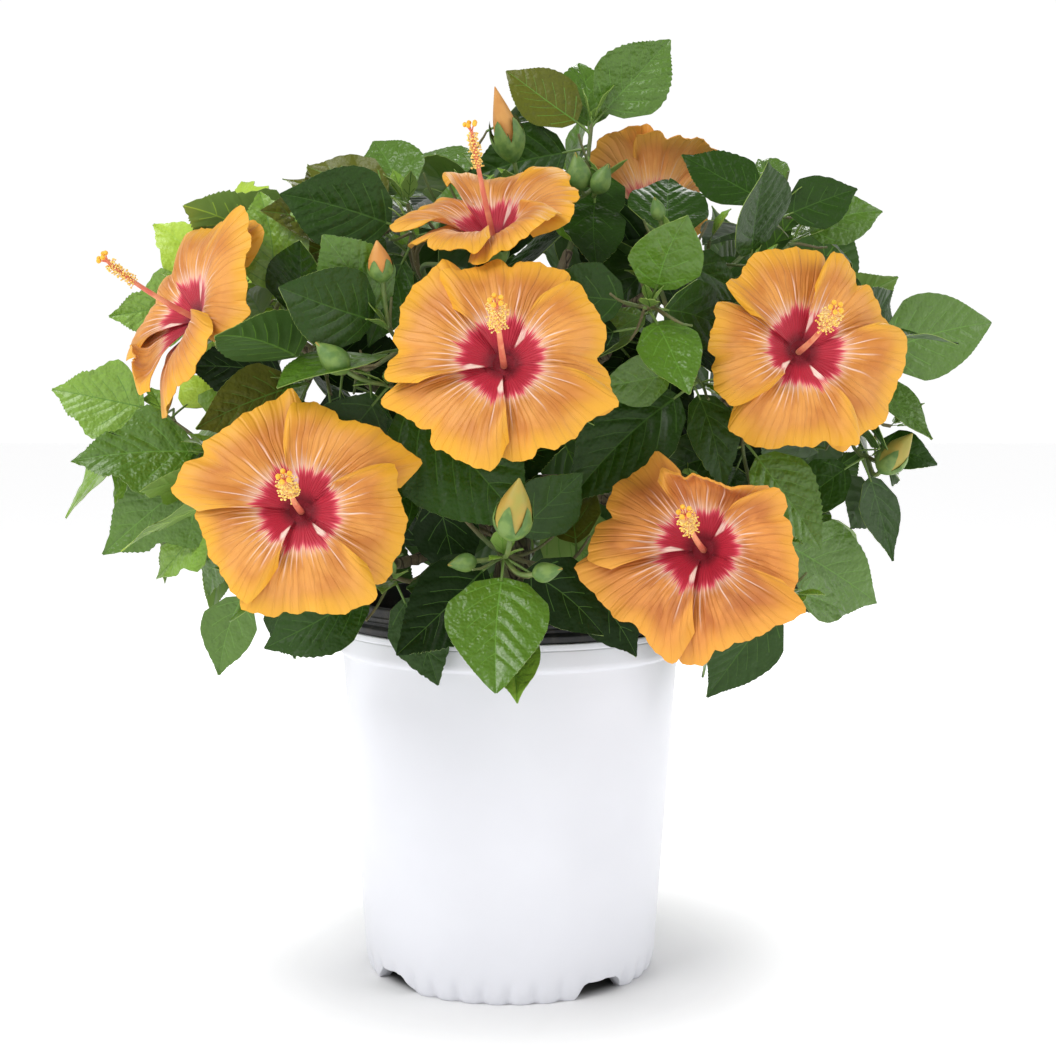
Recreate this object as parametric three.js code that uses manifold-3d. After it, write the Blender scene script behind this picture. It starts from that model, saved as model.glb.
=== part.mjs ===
// Hibiscus shrub in flower, in a white pot with a black liner, about 0.6 m across.
// Millimetres, +Z up. The origin is the centre of the pot's flat underside, and the front faces -Y.
import * as THREE from "three";
import { mergeVertices } from "three/addons/utils/BufferGeometryUtils.js";
import Module from "manifold-3d";

const wasm = await Module();
wasm.setup();

// Solids keep CLEARANCE from each other. Corners of one solid that lie closer than a weld are one
// corner, at the first weld that leaves it closed.
const CLEARANCE = 0.3;
const WELDS = [0.01, 0.02, 0.04, 0.005, 0.08];

// Driving sizes of the pot
const POT = {
  segments: 32, wall: 1.9, footRadius: 91.5, wallBase: 94.4, wallBaseHeight: 12,
  rimRadius: 110.8, rimFoot: 206, height: 222.5, wallTop: 108.2,
  discRadius: 70, grooveHeight: 10.5, footInner: 84, floor: 13,
};
const NOTCH = { count: 4, firstAngle: 38, height: 10, topWidth: 22, footWidth: 38, depth: 16 };
const LINER = { baseRadius: 88.5, topRadius: 104, wall: 1.6, flange: 108.6, collar: 106.3, height: 240 };
const SOIL = { segments: 20, edge: 224, crown: 231, flat: 24 };

// Driving sizes of the trunk, the boughs and the twigs. A limb leaves along one direction and arrives
// along another: pull is the share of its length over which each end holds its direction.
const TRUNK = {
  sides: 8, flare: 6, flareHeight: 14, flareFade: 1.3, footFlat: 3,
  path: [[0, 0, 231.3], [2, -1, 262], [5, 1, 300], [6, 4, 345], [4, 8, 395], [2, 10, 432]],
  radii: [11.5, 10.6, 9.2, 7.4, 5.4, 3.6],
};
const BOUGH = { sides: 5, baseRadius: 4.6, tipRadius: 3.4, outward: 0.75, upward: 0.65, tipUpward: 0.35 };
const TWIG = {
  sides: 3, rows: 3, baseRadius: 2, sideRadius: 1.6, tipRadius: 1.1, offset: 1.9,
  startPull: 0.35, endPull: 0.3, onward: 0.7, upward: 0.45, outward: 0.25,
};

// A leaf's lengths are in millimetres, and its droop, cup and width are shares of its length.
const LEAF = {
  rows: [0.28, 0.68], plainRows: [0.4], thickness: 1, widthRatio: 0.72, widest: 0.72, fullness: 0.85,
  petiole: 14, petioleRadius: 0.9, root: 0.5, neck: 0.02, droop: 0.12, cup: 0.08,
  samplesAlong: 8, samplesAcross: 5, sampleRadius: 4.4, petioleSamples: [0.4, 0.7, 1],
};
const BUD = { sides: 6, rows: 4, width: 0.27, blunt: 0.7, lean: 20, stalkBase: 0.9, stalkTip: 1.2 };
const BLOOM = {
  petals: 5, length: 58, throat: 6, halfAngle: 0.56, notch: 0.15, thickness: 1.4, rings: [0, 0.4, 1],
  eye: -10, tilt: 4, funnel: 11, belly: 4, curl: 7, closing: 90, samples: 6, sampleRadius: 5.5,
  column: 48, columnRadius: 2.1, columnFoot: 14, columnSides: 4, columnLift: 0.16,
  anthers: 5, anthersAt: 0.86,
  calyx: 17, calyxRadius: 6.5, calyxSides: 5, calyxTop: 8, calyxFoot: 10,
  neck: 6, neckRadius: 2.6, stalkRadius: 1.5,
};
const ACROSS = [-1, 0, 1];

// How the twigs and leaves of a mass are spread: where side twigs leave the leader, how far their
// tips go towards the edge of the mass's space, the leaves on a twig, and the tries that each leaf
// has to find room. A spacing is the share of the usual distance kept from the mass's own leaves.
const GROWTH = {
  shootFrom: 0.3, shootSpan: 0.5, ruleFrom: 0.25, ruleSpan: 0.6, highest: 0.8, drop: 1.5,
  reach: 0.8, spread: 0.55, seenOutward: -0.35, hiddenOutward: 0.3, leaves: 7, tries: 10,
  leafStart: 0.97, leafStep: 0.12, shootLeafStep: 0.06, minLength: 66, lengthSpan: 22, rollSpan: 0.6,
  swing: 0.22, leanBack: 7, shrink: 0.02, leaderSkip: 4, sideSkip: 2,
};
const SHOOT_SPACING = 0.55;
const RULE_SPACING = 0.9;
const SHOOT_MARGIN = 8;
const LIMB_MARGIN = 1.2;
const LIMB_STEP = 6;
const POT_MARGIN = 5;
const NEARBY = 90;

// The space that each mass keeps to is an ellipsoid: its centre and its reach along x, y and z.
// from is the height on the trunk where the bough leaves it, and tip is where the bough ends.
// A shoot is a twig's tip with its leaves, each by the hour it points to on a clock face seen from
// the front, its length, its lean towards the viewer and its roll about its midrib, in degrees.
// A bud has an hour, a length and a stalk. fill is the number of further twigs grown by rule.
const MASSES = [
  {
    name: "top", from: 400, tip: [38, -2, 462],
    centre: [50, -6, 520], reach: [124, 104, 112], fill: 2,
    shoots: [
      {
        tip: [52, -8, 540],
        leaves: [
          [1.3, 66, 12, 40], [10.4, 60, 0, 25], [11.8, 58, -25, 0], [9.2, 72, 20, 52], [5.8, 52, 40, 0],
        ],
      },
      {
        tip: [54, -36, 498],
        leaves: [[2, 76, 8, 50], [0.8, 52, 25, 45], [6, 55, 45, 0]],
        buds: [[11.8, 24, 10]],
      },
      { tip: [8, -26, 494], leaves: [[8.6, 54, 10, 20], [3.4, 50, 20, 30]], buds: [[11.5, 48, 20]] },
    ],
  },
  {
    name: "upper_left", from: 384, tip: [-52, -30, 440],
    centre: [-76, -48, 480], reach: [112, 106, 92], fill: 3,
    shoots: [
      {
        tip: [-62, -46, 486],
        leaves: [[9.9, 58, -10, 15], [11.2, 62, -35, 0], [1, 52, -25, 10], [3.2, 50, 15, 20]],
      },
      {
        tip: [-56, -86, 464],
        leaves: [[9.7, 70, 15, 45], [2, 44, 35, 0], [6.2, 58, 25, 10], [7.6, 58, 10, 20]],
      },
      { tip: [-94, -52, 466], leaves: [[9.1, 46, 0, 35], [8.2, 50, 25, 20], [9.6, 62, 40, 25]] },
    ],
  },
  {
    name: "left_high", from: 352, tip: [-135, -8, 402],
    centre: [-200, 10, 438], reach: [110, 98, 90], fill: 3,
    shoots: [
      { tip: [-184, 6, 434], leaves: [[10.6, 56, -5, 5], [8.9, 62, 0, 55], [1, 66, -20, 0]] },
    ],
  },
  {
    name: "left", from: 342, tip: [-88, -58, 378],
    centre: [-136, -98, 404], reach: [102, 96, 122], fill: 2,
    shoots: [
      { tip: [-130, -84, 408], leaves: [[11.8, 78, -8, 15], [9.8, 66, 25, 15], [0.2, 60, 35, 10]] },
      { tip: [-118, -92, 376], leaves: [[8.4, 62, 30, 45], [9.6, 62, 10, 50], [6.5, 50, 20, 30]] },
    ],
  },
  {
    name: "left_low", from: 312, tip: [-128, -42, 330],
    centre: [-212, -48, 322], reach: [122, 102, 104], fill: 2,
    shoots: [
      { tip: [-180, -52, 334], leaves: [[9.1, 74, 10, 10], [0.3, 46, 20, 25], [8.1, 86, 12, 30]] },
      { tip: [-220, -16, 358], leaves: [[9.6, 62, 0, 15], [1.5, 46, -30, 0], [4.5, 50, 10, 10]] },
      { tip: [-176, -52, 304], leaves: [[8, 60, 10, 10], [7.2, 60, 20, 0]] },
    ],
  },
  {
    name: "front_left", from: 366, tip: [-44, -88, 388],
    centre: [-58, -138, 382], reach: [116, 106, 126], fill: 3,
    shoots: [
      {
        tip: [-66, -146, 406],
        leaves: [[9.9, 64, 35, 20], [11.4, 64, 45, 0], [2, 46, 5, 30]],
        buds: [[11.8, 24, 26]],
      },
      { tip: [-66, -150, 374], leaves: [[4.4, 92, 6, 8], [7, 56, 15, 20]], buds: [[10.6, 26, 14]] },
    ],
  },
  {
    name: "front_low", from: 292, tip: [-8, -90, 288],
    centre: [-2, -142, 266], reach: [118, 90, 108], fill: 2,
    shoots: [
      {
        tip: [-2, -150, 278],
        leaves: [[6.1, 66, 40, 0], [3.5, 62, 25, 0], [7.7, 66, 10, 0], [1.6, 58, 15, 35]],
        buds: [[0.3, 30, 10], [8.8, 17, 16]],
      },
      { tip: [4, -134, 254], leaves: [[6.1, 62, -5, 0], [9.5, 50, 20, 0]] },
      { tip: [-44, -128, 322], leaves: [[4.7, 58, 30, 10], [8.4, 52, 20, 0]] },
    ],
  },
  {
    name: "front_low_left", from: 276, tip: [-74, -74, 268],
    centre: [-122, -104, 256], reach: [118, 96, 96], fill: 2,
    shoots: [
      { tip: [-66, -116, 262], leaves: [[8, 72, 0, 15], [5.4, 52, 15, 0]] },
      { tip: [-160, -70, 262], leaves: [[6.9, 50, 5, 20], [9.2, 56, 10, 0], [5.4, 42, -20, 0]] },
    ],
  },
  {
    name: "right", from: 350, tip: [146, -18, 368],
    centre: [232, -22, 372], reach: [122, 104, 114], fill: 3,
    shoots: [
      { tip: [226, -24, 392], leaves: [[2.5, 84, 4, 35], [4.5, 48, 20, 0], [0.2, 52, -20, 0]] },
      {
        tip: [222, -42, 330],
        leaves: [[8, 50, 20, 0], [5.2, 50, 15, 0], [3, 38, 10, 0]],
        buds: [[1.4, 32, 12]],
      },
    ],
  },
  {
    name: "right_low", from: 302, tip: [116, -44, 292],
    centre: [184, -72, 280], reach: [124, 106, 120], fill: 2,
    shoots: [
      { tip: [162, -60, 282], leaves: [[3.2, 88, 8, 15], [4, 66, -10, 0]] },
      { tip: [166, -104, 252], leaves: [[6.8, 68, 5, 20], [4.2, 46, 10, 0]] },
      { tip: [140, -82, 344], leaves: [[4.7, 62, 5, 10], [8.6, 50, 10, 20], [5.7, 52, 5, 50]] },
    ],
  },
  {
    name: "upper_right", from: 386, tip: [96, -16, 440],
    centre: [162, -34, 474], reach: [116, 108, 104], fill: 3,
    shoots: [
      { tip: [145, -72, 440], leaves: [[0.1, 72, 38, 0], [3.5, 54, 5, 20]] },
      {
        tip: [168, -24, 486],
        leaves: [[10.2, 60, -5, 20], [11, 62, 5, 50], [1.1, 46, -25, 20], [2.1, 48, 0, 25]],
      },
      { tip: [178, -14, 466], leaves: [[2.4, 58, 0, 25], [3.9, 58, 10, 25]] },
    ],
  },
  {
    name: "front_right", from: 372, tip: [60, -80, 395],
    centre: [88, -120, 402], reach: [114, 104, 128], fill: 3,
    shoots: [
      { tip: [92, -112, 454], leaves: [[0.2, 66, -45, 0], [3, 48, 15, 20]], buds: [[11.4, 14, 16]] },
      {
        tip: [80, -140, 418],
        leaves: [[0.6, 58, 38, 10], [2.2, 66, 25, 45], [9.4, 54, 5, 30], [5.2, 54, 45, 10]],
      },
      { tip: [112, -104, 376], leaves: [[7.7, 86, 8, 0], [8.9, 46, 20, 35], [5.2, 54, 5, 0]] },
    ],
  },
  {
    name: "back_top", from: 396, tip: [-4, 62, 446],
    centre: [-8, 92, 490], reach: [124, 104, 96], fill: 5,
    shoots: [],
  },
  {
    name: "back_left", from: 362, tip: [-112, 60, 385],
    centre: [-168, 98, 405], reach: [112, 106, 104], fill: 5,
    shoots: [],
  },
  {
    name: "back_right", from: 362, tip: [116, 64, 385],
    centre: [176, 96, 408], reach: [112, 106, 104], fill: 5,
    shoots: [],
  },
  {
    name: "back_mid", from: 332, tip: [4, 108, 362],
    centre: [4, 164, 385], reach: [122, 90, 108], fill: 5,
    shoots: [],
  },
  {
    name: "back_low_left", from: 304, tip: [-88, 78, 300],
    centre: [-142, 118, 288], reach: [114, 104, 96], fill: 5,
    shoots: [],
  },
  {
    name: "back_low_right", from: 304, tip: [92, 80, 300],
    centre: [148, 118, 286], reach: [114, 104, 96], fill: 5,
    shoots: [],
  },
  {
    name: "back_low", from: 286, tip: [2, 96, 284],
    centre: [2, 158, 272], reach: [116, 84, 86], fill: 4,
    shoots: [],
  },
];

// Each bloom: the bough whose tip bears its twig, the middle of its eye, the way it faces, the turn
// of its first petal, how far its petals have opened and its size over the usual one.
const BLOOMS = [
  {
    name: "left", bough: "left_high", centre: [-192, -95, 418],
    facing: [-0.76, -0.5, 0.4], turn: 20, open: 1, size: 1.04,
  },
  {
    name: "front_left", bough: "front_low_left", centre: [-112, -188, 308],
    facing: [0, -0.97, 0.2], turn: 60, open: 1, size: 1,
  },
  {
    name: "front", bough: "front_left", centre: [-2, -192, 389],
    facing: [-0.05, -0.93, 0.35], turn: 15, open: 1, size: 1,
  },
  {
    name: "right", bough: "right", centre: [168, -138, 396],
    facing: [0.15, -0.96, 0.2], turn: 40, open: 1, size: 1,
  },
  {
    name: "front_right", bough: "right_low", centre: [106, -168, 286],
    facing: [-0.25, -0.92, 0.25], turn: 5, open: 0.95, size: 0.94,
  },
  {
    name: "upper", bough: "upper_left", centre: [-10, -124, 466],
    facing: [-0.2, -0.5, 0.84], turn: 30, open: 0.85, size: 0.85,
  },
  {
    name: "top_back", bough: "upper_right", centre: [92, 26, 492],
    facing: [0.1, 0.55, 0.8], turn: 50, open: 0.7, size: 0.85,
  },
  {
    name: "back_right", bough: "back_right", centre: [210, 148, 402],
    facing: [0.72, 0.62, 0.3], turn: 10, open: 1, size: 1,
  },
  {
    name: "back_left", bough: "back_low_left", centre: [-160, 178, 296],
    facing: [-0.55, 0.8, 0.25], turn: 35, open: 1, size: 1,
  },
  {
    name: "back", bough: "back_mid", centre: [4, 214, 384],
    facing: [0.05, 0.95, 0.3], turn: 70, open: 1, size: 1,
  },
];

// The crown's outline as it appears from the front on the plane of the trunk: x, then its lowest and
// its highest z there. It is seen by an eye in front of the trunk.
const EYE = { distance: 1110, height: 365 };
const OUTLINE = [
  [-302, 364, 374], [-292, 276, 388], [-268, 268, 436], [-232, 238, 486], [-197, 189, 498],
  [-160, 198, 510], [-97, 202, 530], [-26, 180, 526], [-6, 163, 570], [32, 185, 594],
  [105, 204, 596], [130, 175, 546], [142, 158, 540], [187, 218, 513], [242, 229, 492],
  [250, 236, 438], [274, 259, 437], [280, 345, 436], [323, 422, 432], [328, 426, 430],
];

// Openings in the crown that show sky from the front: no twig grown by rule puts a leaf there.
const SKY = [
  { x: -186, z: 372, width: 30, height: 16 },
  { x: -268, z: 412, width: 30, height: 24 },
  { x: 280, z: 352, width: 36, height: 44 },
  { x: 6, z: 520, width: 26, height: 16 },
];

// Colours and finishes
const white = new THREE.MeshStandardMaterial({ color: 0xf2f3f5, roughness: 0.35, metalness: 0 });
const black = new THREE.MeshStandardMaterial({ color: 0x18191b, roughness: 0.5, metalness: 0 });
const earth = new THREE.MeshStandardMaterial({ color: 0x2a1f18, roughness: 0.95, metalness: 0 });
const bark = new THREE.MeshStandardMaterial({ color: 0x6b5f45, roughness: 0.85, metalness: 0 });
const green = new THREE.MeshStandardMaterial({ color: 0x2f6b25, roughness: 0.4, metalness: 0 });
const orange = new THREE.MeshStandardMaterial({ color: 0xf2a24a, roughness: 0.6, metalness: 0 });

const UP = new THREE.Vector3(0, 0, 1);
const FRONT = new THREE.Vector3(0, -1, 0);
const CROWN_CENTRE = new THREE.Vector3(8, 0, 372);
const GOLDEN_ANGLE = Math.PI * (3 - Math.sqrt(5));
const root = new THREE.Group();

function vector(list) {
  return new THREE.Vector3(...list);
}

function along(start, direction, distance) {
  return start.clone().addScaledVector(direction, distance);
}

function mix(...pairs) {
  const sum = new THREE.Vector3();
  for (const [direction, share] of pairs) sum.addScaledVector(direction, share);
  return sum.normalize();
}

function radians(degrees) {
  return (degrees * Math.PI) / 180;
}

// Numbers between 0 and 1 that are the same on every run.
function seeded(seed) {
  let state = (seed * 48271) % 2147483647;
  return () => {
    state = (state * 16807) % 2147483647;
    return state / 2147483647;
  };
}

// Solids: joined and cut as manifolds, and named as nodes
function solid(geometry) {
  const bare = geometry.clone();
  bare.deleteAttribute("normal");
  bare.deleteAttribute("uv");
  const merged = mergeVertices(bare, 1e-4);
  return new wasm.Manifold(new wasm.Mesh({
    numProp: 3,
    vertProperties: new Float32Array(merged.attributes.position.array),
    triVerts: new Uint32Array(merged.index.array),
  }));
}

function fuse(geometries) {
  return geometries.map(solid).reduce((whole, piece) => whole.add(piece));
}

// Corners closer than a distance become one, and triangles that this folds flat are dropped, as are
// pairs that then lie back to back.
function weld(vertices, triangles, distance) {
  const corners = [];
  const cornerOf = [];
  for (let i = 0; i < vertices.length; i += 3) {
    const point = new THREE.Vector3().fromArray(vertices, i);
    const known = corners.findIndex((corner) => corner.distanceTo(point) < distance);
    cornerOf.push(known < 0 ? corners.push(point) - 1 : known);
  }
  const faces = new Map();
  for (let i = 0; i < triangles.length; i += 3) {
    const face = [0, 1, 2].map((k) => cornerOf[triangles[i + k]]);
    const key = face.toSorted((one, other) => one - other).join();
    if (new Set(face).size === 3 && !faces.delete(key)) faces.set(key, face);
  }
  return { corners, faces: [...faces.values()] };
}

// Whether every edge of a welded mesh belongs to two faces.
function isClosed({ faces }) {
  const edges = new Map();
  for (const face of faces) {
    for (let k = 0; k < 3; k += 1) {
      const edge = [face[k], face[(k + 1) % 3]].sort((one, other) => one - other).join();
      edges.set(edge, (edges.get(edge) ?? 0) + 1);
    }
  }
  return [...edges.values()].every((count) => count === 2);
}

// The faces of a mesh's largest shell: a hollow that fusing sealed is filled by leaving out its wall,
// and so is a loose scrap.
function largestShell({ corners, faces }) {
  const parent = corners.map((_, i) => i);
  const find = (corner) => {
    let top = corner;
    while (parent[top] !== top) top = parent[top];
    parent[corner] = top;
    return top;
  };
  for (const [first, second, third] of faces) {
    parent[find(first)] = find(second);
    parent[find(first)] = find(third);
  }
  const sizes = new Map();
  for (const [first] of faces) sizes.set(find(first), (sizes.get(find(first)) ?? 0) + 1);
  const [largest] = [...sizes].reduce((best, entry) => (entry[1] > best[1] ? entry : best));
  return faces.filter(([first]) => find(first) === largest);
}

function addNode(name, body, material) {
  const { vertProperties, triVerts } = body.getMesh();
  const attempts = WELDS.map((distance) => weld(vertProperties, triVerts, distance));
  const welded = attempts.find(isClosed) ?? attempts[0];
  const geometry = new THREE.BufferGeometry().setFromPoints(welded.corners);
  geometry.setIndex(largestShell(welded).flat());
  geometry.computeVertexNormals();
  const mesh = new THREE.Mesh(geometry, material);
  mesh.name = name;
  root.add(mesh);
}

function mapVertices(geometry, place) {
  const position = geometry.attributes.position;
  for (let i = 0; i < position.count; i += 1) {
    const point = place(position.getX(i), position.getY(i), position.getZ(i));
    position.setXYZ(i, point.x, point.y, point.z);
  }
  return geometry;
}

// A tapering limb: the rows of a cylinder are moved onto a curve.
function limb(curve, radiusAt, sides, rows) {
  const chord = curve.getPoint(1).sub(curve.getPoint(0)).normalize();
  const reference = Math.abs(chord.x) < 0.6 ? new THREE.Vector3(1, 0, 0) : new THREE.Vector3(0, 1, 0);
  return mapVertices(new THREE.CylinderGeometry(1, 1, 1, sides, rows), (x, y, z) => {
    const t = y + 0.5;
    const tangent = curve.getTangent(t);
    const side = new THREE.Vector3().crossVectors(tangent, reference).normalize();
    const other = new THREE.Vector3().crossVectors(side, tangent);
    const radius = radiusAt(t);
    return curve.getPoint(t).addScaledVector(side, x * radius).addScaledVector(other, z * radius);
  });
}

function taper(from, to) {
  return (t) => from + (to - from) * t;
}

// A twig from a point, leaving along one direction and arriving along another: a chain of straight
// pieces, so that what grows from its middle line starts inside its solid.
class Twig extends THREE.Curve {
  constructor(start, leaving, end, arriving) {
    super();
    const distance = start.distanceTo(end);
    const startPull = along(start, leaving, distance * TWIG.startPull);
    const endPull = along(end, arriving, -distance * TWIG.endPull);
    this.smooth = new THREE.CubicBezierCurve3(start, startPull, endPull, end);
    this.corners = this.smooth.getPoints(TWIG.rows);
  }

  getPoint(t) {
    const place = t * TWIG.rows;
    const index = Math.min(Math.floor(place), TWIG.rows - 1);
    return this.corners[index].clone().lerp(this.corners[index + 1], place - index);
  }

  getTangent(t) {
    return this.smooth.getTangent(t);
  }
}

// Turned solids: a profile from the axis and back to it, turned round the vertical
function turned(profile, segments) {
  const points = profile.map(([radius, height]) => new THREE.Vector2(radius, height));
  return new THREE.LatheGeometry(points, segments).rotateX(Math.PI / 2);
}

function buildPot() {
  const inner = POT.rimRadius - 4.2;
  const shell = solid(turned([
    [0, 0], [POT.discRadius, 0], [POT.discRadius + 1.5, POT.grooveHeight],
    [POT.footInner - 1.5, POT.grooveHeight], [POT.footInner, 0], [POT.footRadius, 0],
    [POT.wallBase - 0.7, 5], [POT.wallBase, POT.wallBaseHeight], [POT.wallTop, POT.rimFoot - 1],
    [POT.rimRadius - 0.4, POT.rimFoot + 0.6], [POT.rimRadius, POT.rimFoot + 3],
    [POT.rimRadius - 0.6, POT.height],
    [inner, POT.height], [inner - 0.3, POT.rimFoot],
    [POT.wallBase - POT.wall, POT.floor], [POT.discRadius - 0.6, POT.floor],
    [POT.discRadius - 2.2, 2.2], [0, 2.2],
  ], POT.segments));
  const outline = new THREE.Shape([
    new THREE.Vector2(-NOTCH.footWidth / 2, -2), new THREE.Vector2(NOTCH.footWidth / 2, -2),
    new THREE.Vector2(NOTCH.footWidth / 2 - 5, 2), new THREE.Vector2(NOTCH.topWidth / 2, NOTCH.height),
    new THREE.Vector2(-NOTCH.topWidth / 2, NOTCH.height), new THREE.Vector2(-NOTCH.footWidth / 2 + 5, 2),
  ]);
  let cut = shell;
  for (let i = 0; i < NOTCH.count; i += 1) {
    const wedge = new THREE.ExtrudeGeometry(outline, { depth: NOTCH.depth, bevelEnabled: false });
    wedge.rotateX(Math.PI / 2).translate(0, -(POT.footInner - 3), 0);
    wedge.rotateZ(radians(NOTCH.firstAngle + (360 / NOTCH.count) * i));
    cut = cut.subtract(solid(wedge));
  }
  addNode("pot", cut, white);
}

function buildLiner() {
  const floor = POT.floor + CLEARANCE;
  const seat = POT.height + CLEARANCE;
  const collarInner = LINER.topRadius - LINER.wall;
  addNode("liner", solid(turned([
    [0, floor], [LINER.baseRadius, floor], [LINER.topRadius, seat - 4], [LINER.topRadius + 0.4, seat],
    [LINER.flange, seat], [LINER.flange + 0.2, seat + 4], [LINER.collar, seat + 6],
    [LINER.collar, LINER.height - 1], [LINER.collar - 0.8, LINER.height], [collarInner + 0.4, LINER.height],
    [collarInner, seat - 4], [LINER.baseRadius - LINER.wall, floor + 2], [0, floor + 2],
  ], POT.segments)), black);
}

function buildSoil() {
  const floor = POT.floor + 2 + 2 * CLEARANCE;
  const edge = LINER.topRadius - LINER.wall - 0.7;
  const step = (SOIL.crown - SOIL.edge) / 3;
  addNode("soil", solid(turned([
    [0, floor], [LINER.baseRadius - LINER.wall - 0.8, floor],
    [edge - 0.4, SOIL.edge - 8], [edge, SOIL.edge],
    [edge * 0.78, SOIL.edge + step], [edge * 0.5, SOIL.edge + 2 * step],
    [SOIL.flat, SOIL.crown], [0, SOIL.crown],
  ], SOIL.segments)), earth);
}

// Trunk and boughs
const trunkCurve = new THREE.CatmullRomCurve3(TRUNK.path.map(vector));
const trunkRows = 2 * (TRUNK.path.length - 1);

function trunkRadius(t) {
  const place = t * (TRUNK.radii.length - 1);
  const index = Math.min(Math.floor(place), TRUNK.radii.length - 2);
  const radius = TRUNK.radii[index] + (TRUNK.radii[index + 1] - TRUNK.radii[index]) * (place - index);
  const height = trunkCurve.getPoint(t).z - TRUNK.path[0][2];
  return radius + TRUNK.flare * Math.exp(-((height / TRUNK.flareHeight) ** TRUNK.flareFade));
}

// The point of the trunk's axis at a height, found by halving.
function trunkAt(height) {
  let low = 0;
  let high = 1;
  for (let i = 0; i < 30; i += 1) {
    const middle = (low + high) / 2;
    if (trunkCurve.getPoint(middle).z < height) low = middle;
    else high = middle;
  }
  return trunkCurve.getPoint(low);
}

function trunkSolid(extra) {
  const geometry = limb(trunkCurve, (t) => trunkRadius(t) + extra, TRUNK.sides, trunkRows);
  const position = geometry.attributes.position;
  for (let i = 0; i < position.count; i += 1) {
    if (position.getZ(i) < TRUNK.path[0][2] + TRUNK.footFlat) position.setZ(i, TRUNK.path[0][2]);
  }
  return solid(geometry);
}

function boughCurve(mass) {
  const start = trunkAt(mass.from);
  const end = vector(mass.tip);
  const outward = new THREE.Vector3(end.x - start.x, end.y - start.y, 0).normalize();
  const onward = end.clone().sub(start).normalize();
  const leaving = mix([outward, BOUGH.outward], [UP, BOUGH.upward]);
  return new Twig(start, leaving, end, mix([onward, 1], [UP, BOUGH.tipUpward]));
}

// Where a mass and a bloom share a bough's tip, each starts to its own side of the tip's middle:
// this is the way from the middle to the bloom's side.
function shift(boughName) {
  const bloom = BLOOMS.find((item) => item.bough === boughName);
  if (!bloom) return new THREE.Vector3();
  const bough = boughs.get(boughName);
  const leaving = bough.getTangent(1);
  const sideways = new THREE.Vector3().crossVectors(leaving, UP).normalize();
  const mass = MASSES.find((item) => item.name === boughName);
  const [wayToBloom, wayToLeader] = [bloom.centre, mass.shoots[0]?.tip ?? mass.centre]
    .map((end) => vector(end).sub(bough.getPoint(1)).normalize().dot(sideways));
  return sideways.multiplyScalar(Math.sign(wayToBloom - wayToLeader) * TWIG.offset);
}

// What is already there: points with a radius, each with its owner, that new leaves keep clear of.
const taken = [];

function claim(points, owner) {
  for (const point of points) taken.push({ ...point, owner });
}

function limbPoints(curve, radiusAt) {
  const count = Math.max(4, Math.ceil(curve.getPoint(0).distanceTo(curve.getPoint(1)) / LIMB_STEP));
  const points = [];
  for (let i = 0; i <= count; i += 1) {
    points.push({ at: curve.getPoint(i / count), radius: radiusAt(i / count) + LIMB_MARGIN });
  }
  return points;
}

function isClear(points, owner, ownSpacing) {
  const middle = points[Math.floor(points.length / 2)].at;
  const near = taken.filter((other) => middle.distanceTo(other.at) < NEARBY);
  return points.every((point) => near.every((other) => {
    const share = other.owner === owner ? ownSpacing : 1;
    return point.at.distanceTo(other.at) > (point.radius + other.radius) * share;
  }));
}

function hitsPot(point) {
  const { x, y, z } = point.at;
  return z < LINER.height + POT_MARGIN && Math.hypot(x, y) < POT.rimRadius + POT_MARGIN;
}

function inSpace(point, mass) {
  const [x, y, z] = point.at.toArray().map((value, i) => (value - mass.centre[i]) / mass.reach[i]);
  return x * x + y * y + z * z <= 1;
}

// Where a point appears from the front, on the plane of the trunk.
function seenAt(point) {
  const scale = EYE.distance / (EYE.distance + point.at.y);
  return { x: point.at.x * scale, z: EYE.height + (point.at.z - EYE.height) * scale };
}

function isInOutline(point, margin) {
  const { x, z } = seenAt(point);
  const next = OUTLINE.findIndex(([edge]) => edge > x);
  if (next < 1) return false;
  const [from, fromLow, fromHigh] = OUTLINE[next - 1];
  const [to, toLow, toHigh] = OUTLINE[next];
  const share = (x - from) / (to - from);
  const low = fromLow + (toLow - fromLow) * share;
  const high = fromHigh + (toHigh - fromHigh) * share;
  return z > low - margin && z < high + margin;
}

function showsSky(point) {
  const { x, z } = seenAt(point);
  return SKY.some((gap) => Math.hypot((x - gap.x) / gap.width, (z - gap.z) / gap.height) < 1);
}

// Leaves: a blade on a petiole. The blade droops along its length and is cupped across it.
function halfWidth(leaf, t) {
  return (leaf.width / 2) * Math.sin(Math.PI * t ** LEAF.widest) ** LEAF.fullness;
}

function midrib(leaf, t) {
  const sag = leaf.length * LEAF.droop * t * t;
  return along(leaf.base, leaf.direction, leaf.length * t).addScaledVector(UP, -sag);
}

function bladePoint(leaf, t, across) {
  const width = halfWidth(leaf, t);
  return midrib(leaf, t)
    .addScaledVector(leaf.side, across * width)
    .addScaledVector(leaf.normal, Math.abs(across) * width * LEAF.cup);
}

function makeLeaf(foot, direction, petiole, length, facing, roll) {
  const upright = facing.clone().addScaledVector(direction, -facing.dot(direction)).normalize();
  const side = new THREE.Vector3().crossVectors(upright, direction);
  const normal = upright.multiplyScalar(Math.cos(roll)).addScaledVector(side, Math.sin(roll)).normalize();
  return {
    foot, direction, length, normal, width: length * LEAF.widthRatio,
    side: new THREE.Vector3().crossVectors(normal, direction), base: along(foot, direction, petiole),
  };
}

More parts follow.
